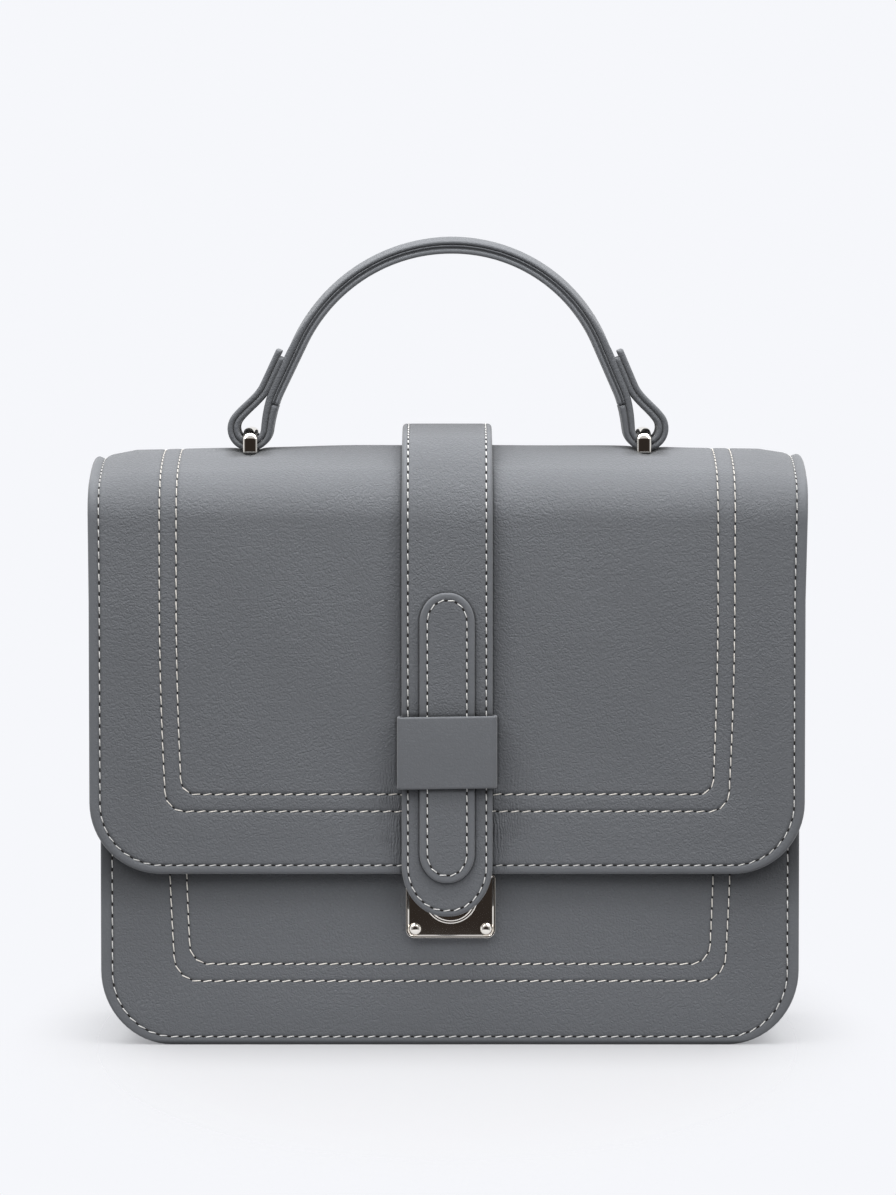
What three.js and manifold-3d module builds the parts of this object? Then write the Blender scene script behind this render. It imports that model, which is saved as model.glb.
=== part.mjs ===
// A structured leather satchel with a top handle, a front flap and a strap with a metal lock.
// Millimetres, +Z up, the front faces -Y. Inside the bag group, y = 0 is the middle of the body's depth.
import * as THREE from "three";
import { mergeVertices } from "three/addons/utils/BufferGeometryUtils.js";
import Module from "manifold-3d";

const wasm = await Module();
wasm.setup();

// Driving dimensions
const GAP = 0.3; // left between pieces that touch
const BLUNT = 1; // half the straight cut left at a round end

// Body: two panels and the strip between them
const BODY_HALF_WIDTH = 117.5;
const BODY_HALF_DEPTH = 42;
const BODY_CORNER = 23.5;
const PANEL_THICKNESS = 2;
const PANEL_CROWN = 1.2;
const FRONT_PANEL_TOP = 170;
const BACK_PANEL_TOP = 176;
const GUSSET_TOP = 172;
const GUSSET_THICKNESS = 1.6;
const GUSSET_FLANGE = 5;
const GUSSET_BOW = 5; // how far each side folds in at its top

// Flap: from the back seam, over the top, down the front
const FLAP_HALF_WIDTH = 120;
const FLAP_THICKNESS = 2.6;
const FLAP_FRONT = -47; // outer face
const FLAP_TOP = 200.8; // outer face, in the middle
const FLAP_FRONT_END = 58.2;
const FLAP_BACK_END = 152;
const FLAP_CORNER = 24;
const FLAP_BACK_CORNER = 3;
const FLAP_CROWN_RADIUS = 95;
const FLAP_FOLD_RADIUS = 20;
const FLAP_SIDE_DROP = 2; // the top is lower at its ends than in its middle
const FLAP_EDGE_DROP = 2.6; // and rolls off past its supported width
const FLAP_EDGE_START = 102;

// Strap: sewn on the flap's back, bridging the top, down to the lock
const STRAP_HALF_WIDTH = 15.2;
const STRAP_THICKNESS = 2.8;
const STRAP_TOP = 208.2; // outer face
const STRAP_FRONT_END = 44.4;
const STRAP_BACK_END = 162;
const STRAP_TIP_LENGTH = 17;
const STRAP_BACK_CORNER = 2.5;
const STRAP_CROWN_RADIUS = 110;
const STRAP_FOLD_RADIUS = 26;

// Round-ended patch on the strap, and the loop round both
const TAB_HALF_WIDTH = 9.2;
const TAB_THICKNESS = 1.5;
const TAB_BOTTOM = 55.9;
const TAB_TOP = 153.1;
const TAB_END_LENGTH = 10;
const KEEPER_HALF_WIDTH = 16.75;
const KEEPER_WALL = 1.2;
const KEEPER_BOTTOM = 87.6;
const KEEPER_TOP = 111.8;
const KEEPER_CORNER = 1.6;

// Lock on the front panel
const LOCK_X = 1.2;
const LOCK_HALF_WIDTH = 15;
const LOCK_BOTTOM = 36.5;
const LOCK_TOP = 57.6;
const LOCK_THICKNESS = 1.4;
const LOCK_LOWER_CORNER = 2.8;
const LOCK_UPPER_CORNER = 1.5;
const LOCK_RIM_WIDTH = 0.7;
const LOCK_RIM_HEIGHT = 0.3;
const BOSS_RADIUS = 9;
const BOSS_STEP = 0.6;
const BOSS_HEIGHT = 1;
const BOSS_CENTRE = 50.5;
const SCREW_SPACING = 23.8;
const SCREW_ABOVE_BOTTOM = 3.1;
const SCREW_HEAD_RADIUS = 1.95;
const SCREW_HEAD_HEIGHT = 1.1;
const SCREW_SHANK_RADIUS = 0.9;
const STUD_RADIUS = 6;
const STUD_CENTRE = 51.5;

// Handle: two leather layers either side of one middle line, a loop at each end
const HANDLE_HALF_DEPTH = 11;
const HANDLE_ARCH_RADIUS = 57.3;
const HANDLE_ARCH_CENTRE = 212.1;
const HANDLE_ARCH_END = 66; // degrees from the top of the arch
const HANDLE_LEG_LENGTH = 16.5;
const HANDLE_LEG_BEND = 10;
const HANDLE_INNER_LEG = 60.65;
const LOOP_RADIUS = 5.7;
const LOOP_CENTRE = 208.95;
const TIP_LENGTH = 12.5;
const TIP_OFFSET = 4.2; // from the leg's middle line to the tip's
const HANDLE_LEAN = 1.5; // how far the arch's top leans to the right
const HANDLE_LEAN_FROM = 218; // height above which it leans

// Bridges that hold the handle's loops
const STAPLE_X = 67;
const STAPLE_HALF_WIDTH = 2.2;
const STAPLE_THICKNESS = 1.5;
const STAPLE_CORNER = 1.4;

// Steps that shape the round stretches
const ARC_STEPS = 7;
const CORNER_STEPS = 7;
const SMALL_CORNER_STEPS = 4;
const BEND_STEPS = 5;
const DISC_STEPS = 36;
const STUD_STEPS = 24;
const SCREW_STEPS = 20;
const HOLE_STEPS = 14;
const PANEL_RUNS = 6;
const SIDE_RUNS = 5;
const SHORTEST_STEP = 0.05;

// Places worked out from these
const FLAP_BACK = BODY_HALF_DEPTH + GAP + FLAP_THICKNESS;
const KEEPER_BACK = FLAP_FRONT - GAP;
const STRAP_FRONT_INNER = KEEPER_BACK - KEEPER_WALL - GAP;
const STRAP_FRONT = STRAP_FRONT_INNER - STRAP_THICKNESS;
const STRAP_BACK_INNER = FLAP_BACK + GAP;
const TAB_FRONT = STRAP_FRONT - GAP - TAB_THICKNESS;
const KEEPER_FRONT = TAB_FRONT - GAP - KEEPER_WALL;
const PANEL_FACE = -BODY_HALF_DEPTH - PANEL_CROWN;
const LOCK_BACK = PANEL_FACE - GAP;
const LOCK_FRONT = LOCK_BACK - LOCK_THICKNESS;
const BOSS_FRONT = LOCK_FRONT - 2 * BOSS_HEIGHT;
const HANDLE_Y = (FLAP_FRONT + FLAP_BACK) / 2;
const BODY_SHIFT = -(KEEPER_FRONT + STRAP_BACK_INNER + STRAP_THICKNESS) / 2;

// Finishes
const leather = () => new THREE.MeshStandardMaterial({ color: 0x6a6c70, roughness: 0.55, metalness: 0 });
const metal = () => new THREE.MeshStandardMaterial({ color: 0xd8cfc0, roughness: 0.12, metalness: 1 });

// Helpers for closed solids

// A closed geometry from points and triangles, turned to face outwards.
function closedGeometry(points, triangles) {
  let sixVolumes = 0;
  for (let i = 0; i < triangles.length; i += 3) {
    const [a, b, c] = [0, 1, 2].map((k) => points[triangles[i + k]]);
    sixVolumes += a.dot(new THREE.Vector3().crossVectors(b, c));
  }
  const faces = sixVolumes > 0 ? triangles : [...triangles].reverse();
  return new THREE.BufferGeometry().setFromPoints(points).setIndex(faces);
}

// A wall between two matching grids of points: its outside and its inside.
function wallGeometry(outside, inside) {
  const rows = outside.length;
  const columns = outside[0].length;
  const at = (face, [row, column]) => (face * rows + row) * columns + column;
  const triangles = [];
  const quad = (a, b, c, d) => triangles.push(a, b, c, a, c, d);
  for (let r = 0; r + 1 < rows; r++) {
    for (let c = 0; c + 1 < columns; c++) {
      const corners = [[r, c], [r, c + 1], [r + 1, c + 1], [r + 1, c]];
      quad(...corners.map((corner) => at(0, corner)));
      quad(...corners.reverse().map((corner) => at(1, corner)));
    }
  }
  const border = [];
  for (let c = 0; c < columns - 1; c++) border.push([0, c]);
  for (let r = 0; r < rows - 1; r++) border.push([r, columns - 1]);
  for (let c = columns - 1; c > 0; c--) border.push([rows - 1, c]);
  for (let r = rows - 1; r > 0; r--) border.push([r, 0]);
  border.forEach((from, i) => {
    const to = border[(i + 1) % border.length];
    quad(at(0, to), at(0, from), at(1, from), at(1, to));
  });
  return closedGeometry([...outside.flat(), ...inside.flat()], triangles);
}

// A bar through matching rings of points, with flat ends cut as the outline says.
function sweptGeometry(rings, outline) {
  const count = outline.length;
  const triangles = [];
  for (let r = 0; r + 1 < rings.length; r++) {
    for (let i = 0; i < count; i++) {
      const j = (i + 1) % count;
      const [a, b] = [r * count + i, r * count + j];
      triangles.push(a, b, b + count, a, b + count, a + count);
    }
  }
  const last = (rings.length - 1) * count;
  for (const [a, b, c] of THREE.ShapeUtils.triangulateShape(outline, [])) {
    triangles.push(c, b, a, last + a, last + b, last + c);
  }
  return closedGeometry(rings.flat(), triangles);
}

// Lengths along a path where its lines end and its arcs turn by one step.
function stations(path, arcSteps) {
  const found = [0];
  let start = 0;
  for (const curve of path.curves) {
    const steps = curve.isLineCurve ? 1 : arcSteps;
    for (let k = 1; k <= steps; k++) found.push(start + (curve.getLength() * k) / steps);
    start += curve.getLength();
  }
  return found;
}

// Half the width of a round-ended piece at a length along it; an end is { along, across }.
function halfWidthAt(length, total, halfWidth, startEnd, stopEnd) {
  const cut = (end, fromEnd) => {
    if (fromEnd >= end.along) return 0;
    const share = 1 - fromEnd / end.along;
    return end.across * (1 - Math.sqrt(Math.max(0, 1 - share * share)));
  };
  return halfWidth - cut(startEnd, length) - cut(stopEnd, total - length);
}

// A leather sheet bent along a path in the (y, z) plane, its outer face to the path's right.
function bentSheet({ path, halfWidth, thickness, startEnd, stopEnd, columns, settle = () => [0, 0] }) {
  const total = path.getLength();
  const lengths = stations(path, ARC_STEPS);
  for (let k = 1; k <= CORNER_STEPS; k++) {
    const turn = (Math.PI / 2) * (k / CORNER_STEPS);
    lengths.push(startEnd.along * (1 - Math.cos(turn)), total - stopEnd.along * (1 - Math.cos(turn)));
  }
  lengths.sort((a, b) => a - b);
  const rows = lengths.filter((s, i) => i === 0 || s - lengths[i - 1] > SHORTEST_STEP);
  const face = (offset) =>
    rows.map((s) => {
      const point = path.getPointAt(s / total);
      const tangent = path.getTangentAt(s / total);
      const normal = new THREE.Vector2(tangent.y, -tangent.x);
      const half = halfWidthAt(s, total, halfWidth, startEnd, stopEnd);
      return columns.map((u) => {
        const x = u * half;
        const [out, up] = settle(x, s, normal);
        const away = offset + out;
        return new THREE.Vector3(x, point.x + normal.x * away, point.y + normal.y * away + up);
      });
    });
  return wallGeometry(face(thickness), face(0));
}

// An outline in (x, z) pushed along Y from one depth to another.
function pushedThroughDepth(shape, fromY, toY, curveSegments = SMALL_CORNER_STEPS) {
  const options = { depth: toY - fromY, bevelEnabled: false, curveSegments };
  return new THREE.ExtrudeGeometry(shape, options).rotateX(Math.PI / 2).translate(0, toY, 0);
}

// A rectangle with a corner radius for its lower and for its upper corners.
function roundedRectangle(left, bottom, right, top, lowerCorner, upperCorner) {
  const quarter = Math.PI / 2;
  const shape = new THREE.Shape();
  shape.absarc(left + lowerCorner, bottom + lowerCorner, lowerCorner, 2 * quarter, 3 * quarter);
  shape.absarc(right - lowerCorner, bottom + lowerCorner, lowerCorner, 3 * quarter, 4 * quarter);
  shape.absarc(right - upperCorner, top - upperCorner, upperCorner, 0, quarter);
  shape.absarc(left + upperCorner, top - upperCorner, upperCorner, quarter, 2 * quarter);
  return shape;
}

// Several geometries joined into one solid.
function joined(geometries) {
  const solids = geometries.map((geometry) => {
    const bare = geometry.clone().deleteAttribute("normal").deleteAttribute("uv");
    const merged = mergeVertices(bare, 1e-4);
    const mesh = new wasm.Mesh({
      numProp: 3,
      vertProperties: merged.attributes.position.array,
      triVerts: new Uint32Array(merged.index.array),
    });
    return new wasm.Manifold(mesh);
  });
  const { vertProperties, triVerts } = solids.reduce((all, next) => all.add(next)).getMesh();
  return new THREE.BufferGeometry()
    .setAttribute("position", new THREE.BufferAttribute(vertProperties, 3))
    .setIndex(new THREE.BufferAttribute(triVerts, 1));
}

const mirroredColumns = (outwards) => [...outwards.map((u) => -u).reverse(), 0, ...outwards];

// Up the back, over a crowned top and down the front, along the inner face of a sheet.
function overTheTop({ front, back, top, crownRadius, foldRadius, backEnd, frontEnd }) {
  const middle = (front + back) / 2;
  const halfDepth = (back - front) / 2;
  const turn = Math.asin((halfDepth - foldRadius) / (crownRadius - foldRadius));
  const foldY = halfDepth - foldRadius;
  const foldZ = top - crownRadius + (crownRadius - foldRadius) * Math.cos(turn);
  const quarter = Math.PI / 2;
  const path = new THREE.Path();
  path.moveTo(back, backEnd);
  path.lineTo(back, foldZ);
  path.absarc(middle + foldY, foldZ, foldRadius, 0, quarter - turn, false);
  path.absarc(middle, top - crownRadius, crownRadius, quarter - turn, quarter + turn, false);
  path.absarc(middle - foldY, foldZ, foldRadius, quarter + turn, 2 * quarter, false);
  path.lineTo(front, frontEnd);
  return path;
}

// Body

const square = { along: 1, across: 1 };
const roundEnd = (radius) => ({ along: radius, across: radius });

// A panel that bulges a little between its path's start and a length along it.
function panelGeometry(path, bulgeLength, corner) {
  const bulge = (x, s) => {
    const across = 1 - (x / BODY_HALF_WIDTH) ** 2;
    return [PANEL_CROWN * across * Math.sin(Math.PI * Math.min(1, s / bulgeLength)), 0];
  };
  return bentSheet({
    path,
    halfWidth: BODY_HALF_WIDTH,
    thickness: PANEL_THICKNESS,
    columns: mirroredColumns([0.3, 0.6, 0.85, 1]),
    settle: bulge,
    ...corner,
  });
}

// A straight path cut into even runs, so that a bulge along it shows.
function straightPath(y, fromZ, toZ, runs) {
  const path = new THREE.Path();
  path.moveTo(y, fromZ);
  for (let k = 1; k <= runs; k++) path.lineTo(y, fromZ + ((toZ - fromZ) * k) / runs);
  return path;
}

const PANEL_INNER = BODY_HALF_DEPTH - PANEL_THICKNESS;

function frontPanel() {
  const path = straightPath(-PANEL_INNER, FRONT_PANEL_TOP, 0, PANEL_RUNS);
  return panelGeometry(path, FRONT_PANEL_TOP, { startEnd: square, stopEnd: roundEnd(BODY_CORNER) });
}

function backPanel() {
  const path = straightPath(PANEL_INNER, 0, BACK_PANEL_TOP, PANEL_RUNS);
  return panelGeometry(path, FLAP_BACK_END, { startEnd: roundEnd(BODY_CORNER), stopEnd: square });
}

// One strip down a side, along the bottom and up the other side: a channel with its edges turned out
// and a soft fold in the middle of each side, deeper towards the top.
function gusset() {
  const edge = PANEL_INNER - GAP;
  const shoulder = edge - GUSSET_THICKNESS;
  const web = GUSSET_FLANGE - GUSSET_THICKNESS;
  const channel = [
    { inset: 0, y: -edge, fold: 0 },
    { inset: GUSSET_FLANGE, y: -edge, fold: 0 },
    { inset: GUSSET_FLANGE, y: -edge / 2, fold: 0.6 },
    { inset: GUSSET_FLANGE, y: 0, fold: 1 },
    { inset: GUSSET_FLANGE, y: edge / 2, fold: 0.6 },
    { inset: GUSSET_FLANGE, y: edge, fold: 0 },
    { inset: 0, y: edge, fold: 0 },
    { inset: 0, y: shoulder, fold: 0 },
    { inset: web, y: shoulder, fold: 0 },
    { inset: web, y: edge / 2, fold: 0.6 },
    { inset: web, y: 0, fold: 1 },
    { inset: web, y: -edge / 2, fold: 0.6 },
    { inset: web, y: -shoulder, fold: 0 },
    { inset: 0, y: -shoulder, fold: 0 },
  ];
  const cornerX = BODY_HALF_WIDTH - BODY_CORNER;
  const sideRun = (GUSSET_TOP - BODY_CORNER) / SIDE_RUNS;
  const route = new THREE.Path();
  route.moveTo(-BODY_HALF_WIDTH, GUSSET_TOP);
  for (let k = 1; k <= SIDE_RUNS; k++) route.lineTo(-BODY_HALF_WIDTH, GUSSET_TOP - k * sideRun);
  route.absarc(-cornerX, BODY_CORNER, BODY_CORNER, Math.PI, 1.5 * Math.PI, false);
  route.lineTo(cornerX, 0);
  route.absarc(cornerX, BODY_CORNER, BODY_CORNER, 1.5 * Math.PI, 2 * Math.PI, false);
  for (let k = 1; k <= SIDE_RUNS; k++) route.lineTo(BODY_HALF_WIDTH, BODY_CORNER + k * sideRun);
  const total = route.getLength();
  const rings = stations(route, ARC_STEPS).map((s) => {
    const point = route.getPointAt(s / total);
    const tangent = route.getTangentAt(s / total);
    const bow = GUSSET_BOW * Math.max(0, (point.y - BODY_CORNER) / (GUSSET_TOP - BODY_CORNER)) ** 2;
    return channel.map(({ inset, y, fold }) => {
      const inwards = inset + fold * bow;
      return new THREE.Vector3(point.x - tangent.y * inwards, y, point.y + tangent.x * inwards);
    });
  });
  return sweptGeometry(rings, channel.map(({ inset, y }) => new THREE.Vector2(inset, y)));
}

// Flap

// How far the flap's top has settled at a distance from the middle.
function flapDrop(x) {
  const beyond = Math.max(0, Math.abs(x) - FLAP_EDGE_START) / (FLAP_HALF_WIDTH - FLAP_EDGE_START);
  return FLAP_SIDE_DROP * (x / FLAP_HALF_WIDTH) ** 2 + FLAP_EDGE_DROP * beyond ** 1.5;
}

function flap() {
  return bentSheet({
    path: overTheTop({
      front: FLAP_FRONT + FLAP_THICKNESS,
      back: FLAP_BACK - FLAP_THICKNESS,
      top: FLAP_TOP - FLAP_THICKNESS,
      crownRadius: FLAP_CROWN_RADIUS,
      foldRadius: FLAP_FOLD_RADIUS - FLAP_THICKNESS,
      backEnd: FLAP_BACK_END,
      frontEnd: FLAP_FRONT_END,
    }),
    halfWidth: FLAP_HALF_WIDTH,
    thickness: FLAP_THICKNESS,
    startEnd: roundEnd(FLAP_BACK_CORNER),
    stopEnd: roundEnd(FLAP_CORNER),
    columns: mirroredColumns([0.3, 0.55, 0.7, 0.84, 0.9, 0.95, 1]),
    settle: (x, s, normal) => [0, -flapDrop(x) * Math.max(0, normal.y) ** 2],
  });
}

// The flap's outer face above a point of the crowned top.
function flapTopAt(x, y) {
  const fromCrest = y - HANDLE_Y;
  const outerCrown = FLAP_CROWN_RADIUS + FLAP_THICKNESS;
  return FLAP_TOP - outerCrown + Math.sqrt(outerCrown ** 2 - fromCrest ** 2) - flapDrop(x);
}

// Strap, its patch and the keeper

function strap() {
  return bentSheet({
    path: overTheTop({
      front: STRAP_FRONT_INNER,
      back: STRAP_BACK_INNER,
      top: STRAP_TOP - STRAP_THICKNESS,
      crownRadius: STRAP_CROWN_RADIUS,
      foldRadius: STRAP_FOLD_RADIUS - STRAP_THICKNESS,
      backEnd: STRAP_BACK_END,
      frontEnd: STRAP_FRONT_END,
    }),
    halfWidth: STRAP_HALF_WIDTH,
    thickness: STRAP_THICKNESS,
    startEnd: roundEnd(STRAP_BACK_CORNER),
    stopEnd: { along: STRAP_TIP_LENGTH, across: STRAP_HALF_WIDTH - BLUNT },
    columns: mirroredColumns([0.5, 1]),
  });
}

function strapTab() {
  const end = { along: TAB_END_LENGTH, across: TAB_HALF_WIDTH - BLUNT };
  return bentSheet({
    path: straightPath(TAB_FRONT + TAB_THICKNESS, TAB_TOP, TAB_BOTTOM, 1),
    halfWidth: TAB_HALF_WIDTH,
    thickness: TAB_THICKNESS,
    startEnd: end,
    stopEnd: end,
    columns: mirroredColumns([0.5, 1]),
  });
}

function keeper() {
  const band = roundedRectangle(
    -KEEPER_HALF_WIDTH, KEEPER_FRONT, KEEPER_HALF_WIDTH, KEEPER_BACK, KEEPER_CORNER, KEEPER_CORNER,
  );
  const innerHalf = KEEPER_HALF_WIDTH - KEEPER_WALL;
  const innerCorner = KEEPER_CORNER - KEEPER_WALL;
  band.holes.push(
    roundedRectangle(
      -innerHalf, KEEPER_FRONT + KEEPER_WALL, innerHalf, KEEPER_BACK - KEEPER_WALL, innerCorner, innerCorner,
    ),
  );
  const depth = KEEPER_TOP - KEEPER_BOTTOM;
  const options = { depth, bevelEnabled: false, curveSegments: SMALL_CORNER_STEPS };
  return new THREE.ExtrudeGeometry(band, options).translate(0, 0, KEEPER_BOTTOM);
}

// Lock

const screwX = (side) => LOCK_X + (side * SCREW_SPACING) / 2;
const SCREW_Z = LOCK_BOTTOM + SCREW_ABOVE_BOTTOM;

function lockOutline(inset) {
  return roundedRectangle(
    LOCK_X - LOCK_HALF_WIDTH + inset, LOCK_BOTTOM + inset,
    LOCK_X + LOCK_HALF_WIDTH - inset, LOCK_TOP - inset,
    LOCK_LOWER_CORNER - inset, LOCK_UPPER_CORNER - inset,
  );
}

// A disc with its upper part cut off level with the plate.
function bossShape(radius) {
  const cut = Math.asin((LOCK_TOP - LOCK_RIM_WIDTH - BOSS_CENTRE) / radius);
  const shape = new THREE.Shape();
  shape.absarc(LOCK_X, BOSS_CENTRE, radius, Math.PI - cut, 2 * Math.PI + cut, false);
  return shape;
}

// Plate, raised rim and stepped round boss in one.
function lockPlate() {
  const plate = lockOutline(0);
  for (const side of [-1, 1]) {
    const round = new THREE.Path();
    round.absarc(screwX(side), SCREW_Z, SCREW_SHANK_RADIUS + GAP, 0, 2 * Math.PI, true);
    plate.holes.push(new THREE.Path(round.getPoints(HOLE_STEPS)));
  }
  const rim = lockOutline(0);
  rim.holes.push(lockOutline(LOCK_RIM_WIDTH));
  const inPlate = LOCK_FRONT + LOCK_THICKNESS / 2;
  return joined([
    pushedThroughDepth(plate, LOCK_FRONT, LOCK_BACK),
    pushedThroughDepth(rim, LOCK_FRONT - LOCK_RIM_HEIGHT, inPlate),
    pushedThroughDepth(bossShape(BOSS_RADIUS), LOCK_FRONT - BOSS_HEIGHT, inPlate, DISC_STEPS),
    pushedThroughDepth(bossShape(BOSS_RADIUS - BOSS_STEP), BOSS_FRONT, inPlate, DISC_STEPS),
  ]);
}

// A domed head on the plate, with its shank in the plate's hole.
function lockScrew() {
  const shankLength = LOCK_THICKNESS + GAP;
  const profile = [new THREE.Vector2(0, -shankLength), new THREE.Vector2(SCREW_SHANK_RADIUS, -shankLength)];
  profile.push(new THREE.Vector2(SCREW_SHANK_RADIUS, 0));
  for (let k = 0; k <= BEND_STEPS; k++) {
    const turn = (k / BEND_STEPS) * (Math.PI / 2);
    profile.push(new THREE.Vector2(SCREW_HEAD_RADIUS * Math.cos(turn), SCREW_HEAD_HEIGHT * Math.sin(turn)));
  }
  profile[profile.length - 1].x = 0;
  return new THREE.LatheGeometry(profile, SCREW_STEPS).rotateX(Math.PI);
}

// Hidden half of the clasp, between the strap's tip and the boss.
function claspStud() {
  const thickness = BOSS_FRONT - STRAP_FRONT_INNER - 2 * GAP;
  return new THREE.CylinderGeometry(STUD_RADIUS, STUD_RADIUS, thickness, STUD_STEPS);
}

// Handle

// Half of the handle's middle line in (x, z): from the arch's top, down a leg, round the loop, up to the tip.
function handleHalf() {
  const turn = THREE.MathUtils.degToRad(HANDLE_ARCH_END);
  const down = new THREE.Vector2(Math.cos(turn), -Math.sin(turn));
  const outwards = new THREE.Vector2(Math.sin(turn), Math.cos(turn));
  const archEnd = outwards.clone().multiplyScalar(HANDLE_ARCH_RADIUS);
  archEnd.y += HANDLE_ARCH_CENTRE;
  const legEnd = archEnd.clone().addScaledVector(down, HANDLE_LEG_LENGTH);
  const bendEnd = new THREE.Vector2(HANDLE_INNER_LEG, legEnd.y - HANDLE_LEG_BEND);
  const tipStart = legEnd.clone().addScaledVector(outwards, TIP_OFFSET);
  const tip = tipStart.clone().addScaledVector(down, -TIP_LENGTH);
  const loopX = HANDLE_INNER_LEG + LOOP_RADIUS;
  const pull = (from, direction, reach) => from.clone().addScaledVector(direction, reach);
  const straightUp = new THREE.Vector2(0, 1);
  const path = new THREE.Path();
  path.absarc(0, HANDLE_ARCH_CENTRE, HANDLE_ARCH_RADIUS, Math.PI / 2, Math.PI / 2 - turn, true);
  path.lineTo(legEnd.x, legEnd.y);
  const bendPulls = [pull(legEnd, down, HANDLE_LEG_BEND / 3), pull(bendEnd, straightUp, HANDLE_LEG_BEND / 3)];
  path.bezierCurveTo(...bendPulls.flatMap((p) => [p.x, p.y]), bendEnd.x, bendEnd.y);
  path.lineTo(HANDLE_INNER_LEG, LOOP_CENTRE);
  path.absarc(loopX, LOOP_CENTRE, LOOP_RADIUS, Math.PI, 2 * Math.PI, false);
  const loopEnd = new THREE.Vector2(loopX + LOOP_RADIUS, LOOP_CENTRE);
  const risePulls = [pull(loopEnd, straightUp, LOOP_RADIUS), pull(tipStart, down, LOOP_RADIUS + 1)];
  path.bezierCurveTo(...risePulls.flatMap((p) => [p.x, p.y]), tipStart.x, tipStart.y);
  path.lineTo(tip.x, tip.y);
  return path;
}

const HALF = handleHalf();
const HALF_LENGTH = HALF.getLength();
const [ARCH_LENGTH, LEG_LENGTH, BEND_LENGTH, DROP_LENGTH, LOOP_LENGTH] = HALF.getCurveLengths();
const LINING_END = LEG_LENGTH + (BEND_LENGTH - LEG_LENGTH) / 2;

// Thickness of the two layers along the middle line; the free tips are skived thinner.
const HANDLE_LAYERS = [
  { name: "top of the arch", at: 0, top: 2.6, under: 2.4 },
  { name: "foot of the leg", at: DROP_LENGTH, top: 1.9, under: 2.1 },
  { name: "past the loop", at: LOOP_LENGTH, top: 1.7, under: 2 },
  { name: "free tip", at: HALF_LENGTH, top: 1.2, under: 1.5 },
];

function layerAt(layer, s) {
  const next = HANDLE_LAYERS.findIndex((row, i) => i > 0 && s <= row.at + 1e-6);
  const [from, to] = [HANDLE_LAYERS[next - 1], HANDLE_LAYERS[next]];
  return THREE.MathUtils.mapLinear(s, from.at, to.at, from[layer], to[layer]);
}

// How far the handle leans to the right at a height.
function handleLean(z) {
  const top = HANDLE_ARCH_CENTRE + HANDLE_ARCH_RADIUS;
  return HANDLE_LEAN * Math.max(0, (z - HANDLE_LEAN_FROM) / (top - HANDLE_LEAN_FROM));
}

// Points of a layer's near and far face along part of one half; side -1 is the left half.
function layerEdges(layer, fromS, toS, side) {
  const bends = stations(HALF, 2 * ARC_STEPS).filter((s) => s > fromS + 0.1 && s < toS - 0.1);
  const away = layer === "top" ? 1 : -1;
  return [fromS, ...bends, toS].map((s) => {
    const point = HALF.getPointAt(s / HALF_LENGTH);
    const tangent = HALF.getTangentAt(s / HALF_LENGTH);
    const place = (offset) => {
      const z = point.y + tangent.x * offset * away;
      return new THREE.Vector2(side * (point.x - tangent.y * offset * away) + handleLean(z), z);
    };
    return { near: place(GAP / 2), far: place(GAP / 2 + layerAt(layer, s)) };
  });
}

// A leather layer of the handle from its edge points, in order along it.
function handleLayer(edges) {
  const outline = [...edges.map((edge) => edge.near), ...edges.map((edge) => edge.far).reverse()];
  return pushedThroughDepth(new THREE.Shape(outline), -HANDLE_HALF_DEPTH, HANDLE_HALF_DEPTH);
}

// The whole width of the arch: the left half backwards, then the right half.
function bothHalves(layer, toS) {
  const left = layerEdges(layer, 0, toS, -1).reverse();
  return [...left.slice(0, -1), ...layerEdges(layer, 0, toS, 1)];
}

const handleTop = () => handleLayer(bothHalves("top", HALF_LENGTH));
const handleLining = () => handleLayer(bothHalves("under", LINING_END));
const handleWrap = (side) => handleLayer(layerEdges("under", LINING_END + GAP, HALF_LENGTH, side));

// A bent strip over the loop: two legs on the flap's top and a bar between them.
function staple() {
  const loopInner = LOOP_RADIUS - GAP / 2 - layerAt("top", DROP_LENGTH);
  const barUnder = LOOP_CENTRE - Math.sqrt(loopInner ** 2 - STAPLE_HALF_WIDTH ** 2) + GAP;
  const legInner = HANDLE_HALF_DEPTH + GAP;
  const legOuter = legInner + STAPLE_THICKNESS;
  const foot = flapTopAt(STAPLE_X - STAPLE_HALF_WIDTH, HANDLE_Y + legInner) + GAP;
  const barTop = barUnder + STAPLE_THICKNESS;
  const outline = new THREE.Shape();
  outline.moveTo(-legOuter, foot);
  outline.lineTo(-legInner, foot);
  outline.lineTo(-legInner, barUnder);
  outline.lineTo(legInner, barUnder);
  outline.lineTo(legInner, foot);
  outline.lineTo(legOuter, foot);
  const [bendY, bendZ] = [legOuter - STAPLE_CORNER, barTop - STAPLE_CORNER];
  outline.absarc(bendY, bendZ, STAPLE_CORNER, 0, Math.PI / 2, false);
  outline.absarc(-bendY, bendZ, STAPLE_CORNER, Math.PI / 2, Math.PI, false);
  const options = { depth: 2 * STAPLE_HALF_WIDTH, bevelEnabled: false, curveSegments: BEND_STEPS };
  const strip = new THREE.ExtrudeGeometry(outline, options).translate(0, 0, -STAPLE_HALF_WIDTH);
  return strip.rotateX(Math.PI / 2).rotateZ(Math.PI / 2);
}

// Assembly

function piece(name, geometry, material, x = 0, y = 0, z = 0) {
  const mesh = new THREE.Mesh(geometry, material);
  mesh.name = name;
  mesh.position.set(x, y, z);
  return mesh;
}

const SIDES = { left: -1, right: 1 };

const body = new THREE.Group();
body.add(piece("front_panel", frontPanel(), leather()));
body.add(piece("back_panel", backPanel(), leather()));
body.add(piece("gusset", gusset(), leather()));
body.add(piece("flap", flap(), leather()));

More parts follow.
